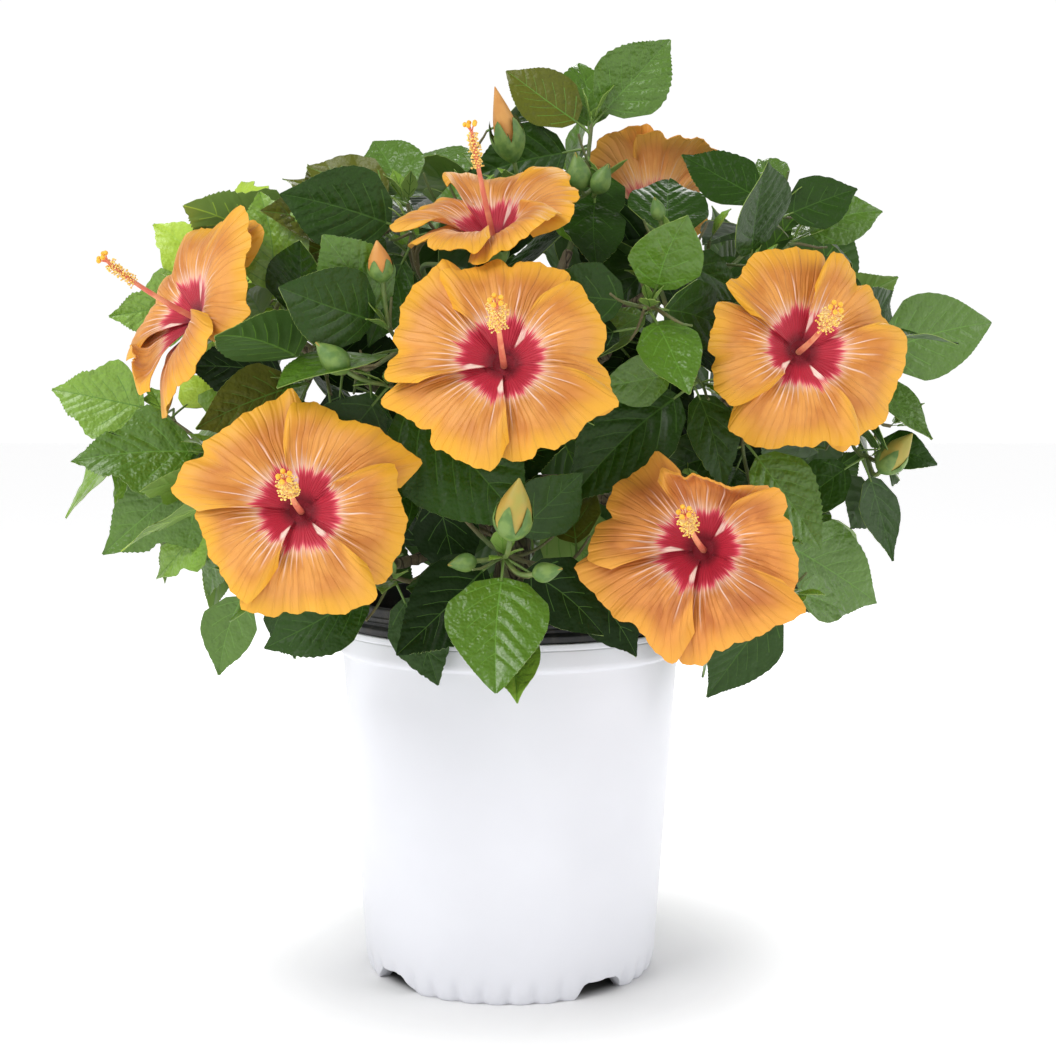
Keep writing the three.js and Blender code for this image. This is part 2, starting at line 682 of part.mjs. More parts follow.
function leafPoints(leaf) {
  const points = LEAF.petioleSamples.map((share) => (
    { at: leaf.foot.clone().lerp(leaf.base, share), radius: LEAF.petioleRadius + LIMB_MARGIN }
  ));
  for (let i = 0; i < LEAF.samplesAlong; i += 1) {
    const t = LEAF.neck + ((1 - 2 * LEAF.neck) * i) / (LEAF.samplesAlong - 1);
    for (let j = 0; j < LEAF.samplesAcross; j += 1) {
      const across = (2 * j) / (LEAF.samplesAcross - 1) - 1;
      points.push({ at: bladePoint(leaf, t, across), radius: LEAF.sampleRadius });
    }
  }
  return points;
}

// Blade and petiole in one three-sided solid, rooted inside its twig: the rows of a sphere are moved
// to the root, the petiole's two ends, the blade's own rows and its tip. The blade's underside is a keel.
function leafSolid(leaf, rows) {
  const turns = rows.length + 3;
  return mapVertices(new THREE.SphereGeometry(1, 3, turns), (x, y, z) => {
    const row = Math.round((Math.acos(THREE.MathUtils.clamp(y, -1, 1)) / Math.PI) * turns);
    if (row === 0) return along(leaf.foot, leaf.direction, -LEAF.root);
    if (row === turns) return midrib(leaf, 1);
    if (row < 3) {
      const middle = row === 1 ? along(leaf.foot, leaf.direction, 3 * LEAF.root) : midrib(leaf, LEAF.neck);
      return middle.addScaledVector(leaf.side, -z * LEAF.petioleRadius)
        .addScaledVector(leaf.normal, x * LEAF.petioleRadius);
    }
    const t = rows[row - 3];
    if (Math.abs(z) > 0.1) return bladePoint(leaf, t, -Math.sign(z));
    return midrib(leaf, t).addScaledVector(leaf.normal, -LEAF.thickness);
  });
}

// A direction given by its hour on a clock face seen from the front, and its lean to the viewer
function clockDirection(hour, lean) {
  const angle = radians(hour * 30);
  const tilt = radians(lean);
  return new THREE.Vector3(
    Math.sin(angle) * Math.cos(tilt), -Math.sin(tilt), Math.cos(angle) * Math.cos(tilt),
  );
}

// Buds: closed, pointed, on a short stalk
function budSolids(foot, direction, length, stalk) {
  const base = along(foot, direction, stalk);
  const axis = new THREE.LineCurve3(base, along(base, direction, length));
  const stem = new THREE.LineCurve3(foot, along(base, direction, length * 0.1));
  const radiusAt = (t) => 0.4 + length * BUD.width * Math.sin(Math.PI * t ** BUD.blunt);
  return [
    limb(axis, radiusAt, BUD.sides, BUD.rows),
    limb(stem, taper(BUD.stalkBase, BUD.stalkTip), TWIG.sides, 1),
  ];
}

function budPoints(foot, direction, length, stalk) {
  const axis = new THREE.LineCurve3(foot, along(foot, direction, stalk + length));
  return limbPoints(axis, taper(BUD.stalkBase, length * BUD.width));
}

// A mass is grown from the tip of its bough: a leader to its first tip, and the rest branching from
// the leader. The shoots seen from the front are grown first in every mass, and the others after.
function startMass(mass, index) {
  const bough = boughs.get(mass.name);
  const leaving = bough.getTangent(1);
  return {
    mass, leaving, random: seeded(index + 11), leader: null, twigs: [], solids: [],
    start: along(bough.getPoint(1), leaving, CLEARANCE).sub(shift(mass.name)),
    outward: vector(mass.centre).sub(CROWN_CENTRE).normalize(),
  };
}

// A twig to a given tip, from the leader or, as the leader, from the bough. One that only may grow
// there is left out when it isn't clear of the rest beyond its first samples.
function growTwig(growth, tip, share, skipped) {
  const { mass, leader, outward } = growth;
  const origin = leader ? leader.getPoint(share) : growth.start;
  const leaving = leader ? leader.getTangent(share) : growth.leaving;
  const onward = tip.clone().sub(origin).normalize();
  const arriving = mix([onward, TWIG.onward], [UP, TWIG.upward], [outward, TWIG.outward]);
  const twig = new Twig(origin, leaving, tip, arriving);
  const radiusAt = taper(leader ? TWIG.sideRadius : TWIG.baseRadius, TWIG.tipRadius);
  const points = limbPoints(twig, radiusAt);
  if (skipped && !isClear(points.slice(skipped), mass.name, RULE_SPACING)) return null;
  growth.leader = leader ?? twig;
  growth.solids.push(limb(twig, radiusAt, TWIG.sides, TWIG.rows));
  claim(points, mass.name);
  return twig;
}

function growLeaf(growth, propose, byRule) {
  const { mass, solids } = growth;
  for (let attempt = 0; attempt < GROWTH.tries; attempt += 1) {
    const leaf = propose(attempt);
    const points = leafPoints(leaf);
    const hasRoom = points.every((point) => inSpace(point, mass) && !hitsPot(point)
      && isInOutline(point, byRule ? 0 : SHOOT_MARGIN) && !(byRule && showsSky(point)));
    if (hasRoom && isClear(points, mass.name, byRule ? RULE_SPACING : SHOOT_SPACING)) {
      claim(points, mass.name);
      solids.push(leafSolid(leaf, byRule ? LEAF.plainRows : LEAF.rows));
      return;
    }
  }
}

function growBud(growth, foot, hour, length, stalk) {
  const direction = clockDirection(hour, BUD.lean);
  const points = budPoints(foot, direction, length, stalk);
  if (!isClear(points.slice(2), growth.mass.name, SHOOT_SPACING)) return;
  claim(points, growth.mass.name);
  growth.solids.push(...budSolids(foot, direction, length, stalk));
}

// A shoot of the table. A leaf that has no room turns a little and leans back, then tries again.
function growShoot(growth, shoot, order) {
  const { random, outward, mass } = growth;
  const share = GROWTH.shootFrom + (GROWTH.shootSpan * order) / mass.shoots.length;
  const twig = growTwig(growth, vector(shoot.tip), share, 0);
  const facing = mix([FRONT, 0.75], [UP, 0.5], [outward, 0.35]);
  shoot.leaves.forEach(([hour, length, lean, roll], i) => {
    const foot = twig.getPoint(GROWTH.leafStart - GROWTH.shootLeafStep * i);
    const petiole = LEAF.petiole * (0.8 + 0.4 * random());
    const turn = radians(roll) * (hour > 6 ? 1 : -1);
    growLeaf(growth, (attempt) => {
      const swing = GROWTH.swing * Math.ceil(attempt / 2) * (attempt % 2 ? 1 : -1);
      const direction = clockDirection(hour + swing, lean - GROWTH.leanBack * attempt);
      return makeLeaf(foot, direction, petiole, length * (1 - GROWTH.shrink * attempt), facing, turn);
    }, false);
  });
  for (const bud of shoot.buds ?? []) growBud(growth, twig.getPoint(1), ...bud);
}

// Further twigs of a mass, their tips spread by the golden angle. Their leaves come once every mass
// has its twigs, in rounds from the tips inward.
function growRuleTwigs(growth) {
  const { mass, random, outward } = growth;
  const lean = mass.shoots.length > 0 ? GROWTH.seenOutward : GROWTH.hiddenOutward;
  for (let i = 0; i < mass.fill; i += 1) {
    const height = GROWTH.highest - (GROWTH.drop * (i + 0.5)) / mass.fill;
    const flat = Math.sqrt(1 - height * height);
    const share = GROWTH.ruleFrom + (GROWTH.ruleSpan * i) / mass.fill;
    let twig = null;
    for (let attempt = 0; attempt < GROWTH.tries && !twig; attempt += 1) {
      const turn = GOLDEN_ANGLE * i + 2 * Math.PI * random();
      const spread = new THREE.Vector3(flat * Math.cos(turn), flat * Math.sin(turn), height);
      spread.multiplyScalar(GROWTH.spread).addScaledVector(outward, lean);
      const tip = vector(mass.centre).add(spread.multiply(vector(mass.reach)).multiplyScalar(GROWTH.reach));
      twig = growTwig(growth, tip, share, growth.leader ? GROWTH.sideSkip : GROWTH.leaderSkip);
    }
    if (twig) growth.twigs.push(twig);
  }
}

function growRuleLeaves(growth) {
  for (let order = 0; order < GROWTH.leaves; order += 1) {
    for (const twig of growth.twigs) growRuleLeaf(growth, twig, order);
  }
}

function growRuleLeaf(growth, twig, order) {
  const { random, outward } = growth;
  const t = GROWTH.leafStart - GROWTH.leafStep * order;
  const foot = twig.getPoint(t);
  const tangent = twig.getTangent(t);
  const across = new THREE.Vector3().crossVectors(tangent, UP).normalize();
  const over = new THREE.Vector3().crossVectors(across, tangent);
  const facing = mix([outward, 0.8], [UP, 0.6]);
  growLeaf(growth, () => {
    const turn = GOLDEN_ANGLE * order + 2 * Math.PI * random();
    const direction = mix([across, Math.cos(turn)], [over, Math.sin(turn)], [tangent, 0.5], [outward, 0.3]);
    const petiole = LEAF.petiole * (0.8 + 0.8 * random());
    const length = GROWTH.minLength + GROWTH.lengthSpan * random();
    return makeLeaf(foot, direction, petiole, length, facing, GROWTH.rollSpan * (random() - 0.5));
  }, true);
}

// Blooms: five broad petals, each with one edge over the next, round a long column.
function bloomFrame(bloom) {
  const axis = vector(bloom.facing).normalize();
  const side = new THREE.Vector3().crossVectors(UP, axis).normalize();
  const upright = new THREE.Vector3().crossVectors(axis, side);
  return { centre: vector(bloom.centre), axis, side, upright };
}

function petalPoint(bloom, frame, petal, across, t) {
  const angle = radians(bloom.turn) + ((2 * Math.PI) / BLOOM.petals) * petal + across * BLOOM.halfAngle;
  const reach = BLOOM.throat + bloom.size * BLOOM.length * t * (1 - BLOOM.notch * across * across);
  const flat = reach * Math.sin((bloom.open * Math.PI) / 2) ** (1 - t / 2);
  const dish = BLOOM.belly * Math.sin(Math.PI * t) - BLOOM.funnel * (1 - t) ** 2 - BLOOM.curl * t ** 3;
  const height = dish + (1 - bloom.open) * BLOOM.closing * t + BLOOM.tilt * across * t;
  return frame.centre.clone()
    .addScaledVector(frame.side, flat * Math.cos(angle))
    .addScaledVector(frame.upright, flat * Math.sin(angle))
    .addScaledVector(frame.axis, height);
}

// The five petals as one dished sheet: the columns of a sphere are shared out among the petals, with
// a step from each to the next, and its rows run out over the front and back under it.
function corollaSolid(bloom, frame) {
  const columns = ACROSS.length;
  const turns = 2 * (BLOOM.rings.length - 1);
  return mapVertices(new THREE.SphereGeometry(1, BLOOM.petals * columns, turns), (x, y, z) => {
    const row = Math.round((Math.acos(THREE.MathUtils.clamp(y, -1, 1)) / Math.PI) * turns);
    const t = BLOOM.rings[Math.min(row, turns - row)];
    const turn = 1 - Math.atan2(z, x) / (2 * Math.PI);
    const column = Math.round(turn * BLOOM.petals * columns) % (BLOOM.petals * columns);
    const face = Math.sign(turns / 2 - row) * BLOOM.thickness * 0.5;
    if (t === 0) return along(frame.centre, frame.axis, BLOOM.eye + face);
    return petalPoint(bloom, frame, Math.floor(column / columns), ACROSS[column % columns], t)
      .addScaledVector(frame.axis, face);
  });
}

// The column leaves along the bloom's axis and lifts a little.
function columnCurve(frame) {
  const foot = along(frame.centre, frame.axis, -BLOOM.columnFoot);
  const bend = along(frame.centre, frame.axis, BLOOM.column / 2);
  const end = along(frame.centre, frame.axis, BLOOM.column);
  end.addScaledVector(UP, BLOOM.column * BLOOM.columnLift);
  return new THREE.QuadraticBezierCurve3(foot, bend, end);
}

function bloomStalk(bloom, frame) {
  const bough = boughs.get(bloom.bough);
  const leaving = bough.getTangent(1);
  const start = along(bough.getPoint(1), leaving, CLEARANCE).add(shift(bloom.bough));
  return new Twig(start, leaving, along(frame.centre, frame.axis, -(BLOOM.neck + BLOOM.calyx)), frame.axis);
}

function claimBloom(bloom) {
  const frame = bloomFrame(bloom);
  const stalkRadius = taper(BLOOM.stalkRadius, BLOOM.stalkRadius);
  const points = limbPoints(columnCurve(frame), taper(BLOOM.columnRadius, BLOOM.anthers));
  const last = BLOOM.samples - 1;
  for (let petal = 0; petal < BLOOM.petals; petal += 1) {
    for (let i = 0; i <= last; i += 1) {
      for (let j = 0; j <= last; j += 1) {
        const at = petalPoint(bloom, frame, petal, (2 * j) / last - 1, i / last);
        points.push({ at, radius: BLOOM.sampleRadius });
      }
    }
  }
  points.push(...limbPoints(bloomStalk(bloom, frame), stalkRadius));
  claim(points, `bloom_${bloom.name}`);
}

function buildBloom(bloom) {
  const frame = bloomFrame(bloom);
  const column = columnCurve(frame);
  const columnRadius = taper(BLOOM.columnRadius * 1.5, BLOOM.columnRadius);
  const knob = column.getPoint(BLOOM.anthersAt);
  const neck = along(frame.centre, frame.axis, -(BLOOM.calyxFoot + BLOOM.calyx));
  const cup = new THREE.LineCurve3(neck, along(frame.centre, frame.axis, -BLOOM.calyxTop));
  const stalkRadius = taper(BLOOM.stalkRadius, BLOOM.stalkRadius);
  addNode(`bloom_${bloom.name}`, fuse([
    corollaSolid(bloom, frame),
    limb(column, columnRadius, BLOOM.columnSides, 2),
    new THREE.OctahedronGeometry(BLOOM.anthers, 0).translate(knob.x, knob.y, knob.z),
    limb(cup, taper(BLOOM.neckRadius, BLOOM.calyxRadius), BLOOM.calyxSides, 1),
    limb(bloomStalk(bloom, frame), stalkRadius, TWIG.sides, TWIG.rows),
  ]), orange);
}

buildPot();
buildLiner();
buildSoil();

const boughs = new Map(MASSES.map((mass) => [mass.name, boughCurve(mass)]));
const boughRadius = taper(BOUGH.baseRadius, BOUGH.tipRadius);
addNode("trunk", trunkSolid(0), bark);
const trunkCutter = trunkSolid(CLEARANCE);
claim(limbPoints(trunkCurve, trunkRadius), "trunk");
for (const [name, curve] of boughs) {
  const body = solid(limb(curve, boughRadius, BOUGH.sides, TWIG.rows));
  addNode(`bough_${name}`, body.subtract(trunkCutter), bark);
  claim(limbPoints(curve, boughRadius), `bough_${name}`);
}
BLOOMS.forEach(claimBloom);
const growths = MASSES.map(startMass);
for (const growth of growths) growth.mass.shoots.forEach((shoot, order) => growShoot(growth, shoot, order));
growths.forEach(growRuleTwigs);
growths.forEach(growRuleLeaves);
for (const growth of growths) addNode(`mass_${growth.mass.name}`, fuse(growth.solids), green);
BLOOMS.forEach(buildBloom);

export default root;
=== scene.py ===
import math
from types import SimpleNamespace as Values

import bpy
import numpy as np
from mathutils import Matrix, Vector, noise


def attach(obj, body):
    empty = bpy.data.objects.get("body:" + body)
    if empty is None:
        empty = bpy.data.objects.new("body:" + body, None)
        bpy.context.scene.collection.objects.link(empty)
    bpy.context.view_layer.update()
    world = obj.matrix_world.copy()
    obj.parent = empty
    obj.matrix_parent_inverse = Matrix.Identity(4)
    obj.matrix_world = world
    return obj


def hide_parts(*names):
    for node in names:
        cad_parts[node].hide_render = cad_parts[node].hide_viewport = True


# Hibiscus shrub in flower, in a white pot with a black liner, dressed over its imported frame.
# Lengths are in millimetres until a mesh is made, +Z is up and the front faces -Y.
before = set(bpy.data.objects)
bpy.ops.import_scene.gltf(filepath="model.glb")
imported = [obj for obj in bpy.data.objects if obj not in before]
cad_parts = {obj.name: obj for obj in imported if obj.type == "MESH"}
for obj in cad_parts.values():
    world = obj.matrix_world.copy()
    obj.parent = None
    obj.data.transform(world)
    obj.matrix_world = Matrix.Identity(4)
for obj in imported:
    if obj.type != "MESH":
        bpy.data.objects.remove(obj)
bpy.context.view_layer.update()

MM = 0.001

# Sizes of the pot, its liner and the soil, as in the source
POT = Values(
    wall=1.9, foot_radius=91.5, wall_base=94.4, wall_base_height=12, rim_radius=110.8, rim_foot=206,
    height=222.5, wall_top=108.2, disc_radius=70, groove_height=10.5, foot_inner=84, floor=13,
)
NOTCH = Values(count=4, first_angle=38, height=10, top_width=22, foot_width=38)
LINER = Values(base_radius=88.5, top_radius=104, wall=1.6, flange=108.6, collar=106.3, height=240)
SOIL = Values(edge=224, crown=231, flat=24)
CLEARANCE = 0.3

# Sizes of the limbs, leaves and blooms, as in the source
TRUNK = Values(
    flare=6, flare_height=14, flare_fade=1.3,
    path=[[0, 0, 231.3], [2, -1, 262], [5, 1, 300], [6, 4, 345], [4, 8, 395], [2, 10, 432]],
    radii=[11.5, 10.6, 9.2, 7.4, 5.4, 3.6],
)
BOUGH = Values(base_radius=4.6, tip_radius=3.4, outward=0.75, upward=0.65, tip_upward=0.35)
TWIG = Values(
    rows=3, base_radius=2, side_radius=1.6, tip_radius=1.1, offset=1.9,
    start_pull=0.35, end_pull=0.3, onward=0.7, upward=0.45, outward=0.25,
)
LEAF = Values(
    width_ratio=0.72, widest=0.72, fullness=0.85, petiole=14, petiole_radius=0.9,
    neck=0.02, droop=0.12, cup=0.08,
    samples_along=8, samples_across=5, sample_radius=4.4, petiole_samples=[0.4, 0.7, 1],
)
BUD = Values(width=0.27, blunt=0.7, lean=20, stalk_base=0.9, stalk_tip=1.2)
BLOOM = Values(
    petals=5, length=58, throat=6, half_angle=0.56, notch=0.15, tilt=4, funnel=11, belly=4, curl=7,
    closing=90, samples=6, sample_radius=5.5,
    column=48, column_radius=2.1, column_foot=14, column_lift=0.16, anthers=5,
    calyx=17, calyx_radius=6.5, calyx_foot=10, neck=6, stalk_radius=1.5,
)
GROWTH = Values(
    shoot_from=0.3, shoot_span=0.5, rule_from=0.25, rule_span=0.6, highest=0.8, drop=1.5,
    reach=0.8, spread=0.55, seen_outward=-0.35, hidden_outward=0.3, leaves=7, tries=10,
    leaf_start=0.97, leaf_step=0.12, shoot_leaf_step=0.06, min_length=66, length_span=22,
    roll_span=0.6, swing=0.22, lean_back=7, shrink=0.02, leader_skip=4, side_skip=2,
)
EYE = Values(distance=1110, height=365)
SHOOT_SPACING = 0.55
RULE_SPACING = 0.9
SHOOT_MARGIN = 8
LIMB_MARGIN = 1.2
LIMB_STEP = 6
POT_MARGIN = 5
NEARBY = 90

# Finer growth than the source's: side twigs of every twig, with smaller leaves, and the share of the
# usual distance that their leaves keep from the rest. Young leaves unfold at the tips of the twigs.
FINE = Values(
    shares=[0.95, 0.7, 0.45, 0.85, 0.55, 0.3, 0.62, 0.2], length=[16, 40], places=[0.97, 0.66, 0.4],
    tries=7, twig_tries=3, leaf=[46, 74], spacing=0.56, spread=0.8, onward=0.5, outward=0.35,
    radius=1.1, tip_radius=0.7,
)
YOUNG = Values(count=3, length=[13, 26], petiole=[2, 5], along=0.9, apart=0.55, radius=3, width=0.8)

# Leaves that are left off: those over the inner share of a bloom that faces the front, those before
# openings of the photo, each given by where it is seen and its reach, and finer leaves of which more
# than a share lies in front of the leaves read from the photo, as near to them as that.
FREE_SHARE = 0.82
FACES_FRONT = 0.6
WINDOWS = [[88, 525, 34], [60, 530, 16]]
WINDOW_DEPTH = 40
HIDING = Values(near=7, in_front=2, share=0.3)


# Tables: each row gets its names
def rows(names, *table):
    return [Values(**dict(zip(names.split(), row))) for row in table]


def make_mass(name, height, tip, centre, reach, fill, *shoots):
    return Values(
        name=name, height=height, tip=tip, centre=centre, reach=reach, fill=fill, shoots=shoots
    )


def make_shoot(tip, *leaves, buds=()):
    return Values(tip=tip, leaves=leaves, buds=buds)


# The masses, blooms, openings and outline, as in the source. A mass is its name, the height at which its
# bough leaves the trunk, the bough's tip, its middle and reach, how many twigs grow by the rule, and the
# shoots read from the photo. A shoot is its tip and its leaves, each with its hour on a clock face seen
# from the front, its length, its lean to the viewer and its roll. A bud is its hour, length and stalk.
MASSES = [
    make_mass(
        "top", 400, [38, -2, 462], [50, -6, 520], [124, 104, 112], 2,
        make_shoot(
            [52, -8, 540], [1.3, 66, 12, 40], [10.4, 60, 0, 25], [11.8, 58, -25, 0], [9.2, 72, 20, 52],
            [5.8, 52, 40, 0],
        ),
        make_shoot(
            [54, -36, 498], [2, 76, 8, 50], [0.8, 52, 25, 45], [6, 55, 45, 0], buds=[[11.8, 24, 10]],
        ),
        make_shoot([8, -26, 494], [8.6, 54, 10, 20], [3.4, 50, 20, 30], buds=[[11.5, 48, 20]]),
    ),
    make_mass(
        "upper_left", 384, [-52, -30, 440], [-76, -48, 480], [112, 106, 92], 3,
        make_shoot(
            [-62, -46, 486], [9.9, 58, -10, 15], [11.2, 62, -35, 0], [1, 52, -25, 10], [3.2, 50, 15, 20],
        ),
        make_shoot(
            [-56, -86, 464], [9.7, 70, 15, 45], [2, 44, 35, 0], [6.2, 58, 25, 10], [7.6, 58, 10, 20],
        ),
        make_shoot([-94, -52, 466], [9.1, 46, 0, 35], [8.2, 50, 25, 20], [9.6, 62, 40, 25]),
    ),
    make_mass(
        "left_high", 352, [-135, -8, 402], [-200, 10, 438], [110, 98, 90], 3,
        make_shoot([-184, 6, 434], [10.6, 56, -5, 5], [8.9, 62, 0, 55], [1, 66, -20, 0]),
    ),
    make_mass(
        "left", 342, [-88, -58, 378], [-136, -98, 404], [102, 96, 122], 2,
        make_shoot([-130, -84, 408], [11.8, 78, -8, 15], [9.8, 66, 25, 15], [0.2, 60, 35, 10]),
        make_shoot([-118, -92, 376], [8.4, 62, 30, 45], [9.6, 62, 10, 50], [6.5, 50, 20, 30]),
    ),
    make_mass(
        "left_low", 312, [-128, -42, 330], [-212, -48, 322], [122, 102, 104], 2,
        make_shoot([-180, -52, 334], [9.1, 74, 10, 10], [0.3, 46, 20, 25], [8.1, 86, 12, 30]),
        make_shoot([-220, -16, 358], [9.6, 62, 0, 15], [1.5, 46, -30, 0], [4.5, 50, 10, 10]),
        make_shoot([-176, -52, 304], [8, 60, 10, 10], [7.2, 60, 20, 0]),
    ),
    make_mass(
        "front_left", 366, [-44, -88, 388], [-58, -138, 382], [116, 106, 126], 3,
        make_shoot(
            [-66, -146, 406], [9.9, 64, 35, 20], [11.4, 64, 45, 0], [2, 46, 5, 30], buds=[[11.8, 24, 26]],
        ),
        make_shoot([-66, -150, 374], [4.4, 92, 6, 8], [7, 56, 15, 20], buds=[[10.6, 26, 14]]),
    ),
    make_mass(
        "front_low", 292, [-8, -90, 288], [-2, -142, 266], [118, 90, 108], 2,
        make_shoot(
            [-2, -150, 278], [6.1, 66, 40, 0], [3.5, 62, 25, 0], [7.7, 66, 10, 0], [1.6, 58, 15, 35],
            buds=[[0.3, 30, 10], [8.8, 17, 16]],
        ),
        make_shoot([4, -134, 254], [6.1, 62, -5, 0], [9.5, 50, 20, 0]),
        make_shoot([-44, -128, 322], [4.7, 58, 30, 10], [8.4, 52, 20, 0]),
    ),
    make_mass(
        "front_low_left", 276, [-74, -74, 268], [-122, -104, 256], [118, 96, 96], 2,
        make_shoot([-66, -116, 262], [8, 72, 0, 15], [5.4, 52, 15, 0]),
        make_shoot([-160, -70, 262], [6.9, 50, 5, 20], [9.2, 56, 10, 0], [5.4, 42, -20, 0]),
    ),
    make_mass(
        "right", 350, [146, -18, 368], [232, -22, 372], [122, 104, 114], 3,
        make_shoot([226, -24, 392], [2.5, 84, 4, 35], [4.5, 48, 20, 0], [0.2, 52, -20, 0]),
        make_shoot([222, -42, 330], [8, 50, 20, 0], [5.2, 50, 15, 0], [3, 38, 10, 0], buds=[[1.4, 32, 12]]),
    ),
    make_mass(
        "right_low", 302, [116, -44, 292], [184, -72, 280], [124, 106, 120], 2,
        make_shoot([162, -60, 282], [3.2, 88, 8, 15], [4, 66, -10, 0]),
        make_shoot([166, -104, 252], [6.8, 68, 5, 20], [4.2, 46, 10, 0]),
        make_shoot([140, -82, 344], [4.7, 62, 5, 10], [8.6, 50, 10, 20], [5.7, 52, 5, 50]),
    ),
    make_mass(
        "upper_right", 386, [96, -16, 440], [162, -34, 474], [116, 108, 104], 3,
        make_shoot([145, -72, 440], [0.1, 72, 38, 0], [3.5, 54, 5, 20]),
        make_shoot(
            [168, -24, 486], [10.2, 60, -5, 20], [11, 62, 5, 50], [1.1, 46, -25, 20], [2.1, 48, 0, 25],
        ),
        make_shoot([178, -14, 466], [2.4, 58, 0, 25], [3.9, 58, 10, 25]),
    ),
    make_mass(
        "front_right", 372, [60, -80, 395], [88, -120, 402], [114, 104, 128], 3,
        make_shoot([92, -112, 454], [0.2, 66, -45, 0], [3, 48, 15, 20], buds=[[11.4, 14, 16]]),
        make_shoot(
            [80, -140, 418], [0.6, 58, 38, 10], [2.2, 66, 25, 45], [9.4, 54, 5, 30], [5.2, 54, 45, 10],
        ),
        make_shoot([112, -104, 376], [7.7, 86, 8, 0], [8.9, 46, 20, 35], [5.2, 54, 5, 0]),
    ),
    make_mass("back_top", 396, [-4, 62, 446], [-8, 92, 490], [124, 104, 96], 5),
    make_mass("back_left", 362, [-112, 60, 385], [-168, 98, 405], [112, 106, 104], 5),
    make_mass("back_right", 362, [116, 64, 385], [176, 96, 408], [112, 106, 104], 5),
    make_mass("back_mid", 332, [4, 108, 362], [4, 164, 385], [122, 90, 108], 5),
    make_mass("back_low_left", 304, [-88, 78, 300], [-142, 118, 288], [114, 104, 96], 5),
    make_mass("back_low_right", 304, [92, 80, 300], [148, 118, 286], [114, 104, 96], 5),
    make_mass("back_low", 286, [2, 96, 284], [2, 158, 272], [116, 84, 86], 4),
]
BLOOMS = rows(
    "name bough centre facing turn open size",
    ["left", "left_high", [-192, -95, 418], [-0.76, -0.5, 0.4], 20, 1, 1.04],
    ["front_left", "front_low_left", [-112, -188, 308], [0, -0.97, 0.2], 60, 1, 1],
    ["front", "front_left", [-2, -192, 389], [-0.05, -0.93, 0.35], 15, 1, 1],
    ["right", "right", [168, -138, 396], [0.15, -0.96, 0.2], 40, 1, 1],
    ["front_right", "right_low", [106, -168, 286], [-0.25, -0.92, 0.25], 5, 0.95, 0.94],
    ["upper", "upper_left", [-10, -124, 466], [-0.2, -0.5, 0.84], 30, 0.85, 0.85],
    ["top_back", "upper_right", [92, 26, 492], [0.1, 0.55, 0.8], 50, 0.7, 0.85],
    ["back_right", "back_right", [210, 148, 402], [0.72, 0.62, 0.3], 10, 1, 1],
    ["back_left", "back_low_left", [-160, 178, 296], [-0.55, 0.8, 0.25], 35, 1, 1],
    ["back", "back_mid", [4, 214, 384], [0.05, 0.95, 0.3], 70, 1, 1],
)
SKY = rows(
    "x z width height",
    [-186, 372, 30, 16], [-268, 412, 30, 24], [280, 352, 36, 44], [6, 520, 26, 16],
)
OUTLINE = [
  [-302, 364, 374], [-292, 276, 388], [-268, 268, 436], [-232, 238, 486], [-197, 189, 498],
  [-160, 198, 510], [-97, 202, 530], [-26, 180, 526], [-6, 163, 570], [32, 185, 594],
  [105, 204, 596], [130, 175, 546], [142, 158, 540], [187, 218, 513], [242, 229, 492],
  [250, 236, 438], [274, 259, 437], [280, 345, 436], [323, 422, 432], [328, 426, 430],
]

UP = np.array([0.0, 0.0, 1.0])
FRONT = np.array([0.0, -1.0, 0.0])
CROWN_CENTRE = np.array([8.0, 0.0, 372.0])
GOLDEN_ANGLE = math.pi * (3 - math.sqrt(5))


# Vectors and numbers
def vec(values):
    return np.array(values, float)


def unit(v):
    return v / np.linalg.norm(v)


def mixed(*pairs):
    return unit(sum(direction * share for direction, share in pairs))


def seeded(seed):
    """Numbers between 0 and 1 that are the same on every run, and the same as the source's."""
    state = (seed * 48271) % 2147483647

    def step():
        nonlocal state
        state = (state * 16807) % 2147483647
        return state / 2147483647

    return step


def between(ends, share):
    return ends[0] + (ends[1] - ends[0]) * share


def taper(*ends):
    return lambda t: between(ends, t)


def smooth(low, high, value):
    share = np.clip((value - low) / (high - low), 0, 1)
    return share * share * (3 - 2 * share)


def across_limb(tangent, nudge=0):
    """Two directions across a limb."""
    across = unit(np.cross(tangent, UP) + nudge)
    return across, np.cross(across, tangent)


def spread_round(sides, turn, share=1):
    """The parts of a direction that lie across a limb, for mixed()."""
    return (sides[0], share * math.cos(turn)), (sides[1], share * math.sin(turn))


# Curves of the limbs
class Twig:
    """A limb that leaves along one direction and arrives along another. at() follows the source's
    chain of straight pieces, and smooth_at() the curve itself."""

    def __init__(self, start, leaving, end, arriving):
        distance = np.linalg.norm(end - start)
        self.ends = [
            start,
            start + leaving * distance * TWIG.start_pull,
            end - arriving * distance * TWIG.end_pull,
            end,
        ]
        self.corners = [self.smooth_at(i / TWIG.rows) for i in range(TWIG.rows + 1)]

    def smooth_at(self, t):
        k = 1 - t
        a, b, c, d = self.ends
        return k * k * k * a + 3 * k * k * t * b + 3 * k * t * t * c + t * t * t * d

    def at(self, t):
        place = t * TWIG.rows
        index = min(math.floor(place), TWIG.rows - 1)
        return self.corners[index] + (self.corners[index + 1] - self.corners[index]) * (place - index)

    def tangent(self, t):
        step = 0.0001
        return unit(self.smooth_at(min(t + step, 1)) - self.smooth_at(max(t - step, 0)))


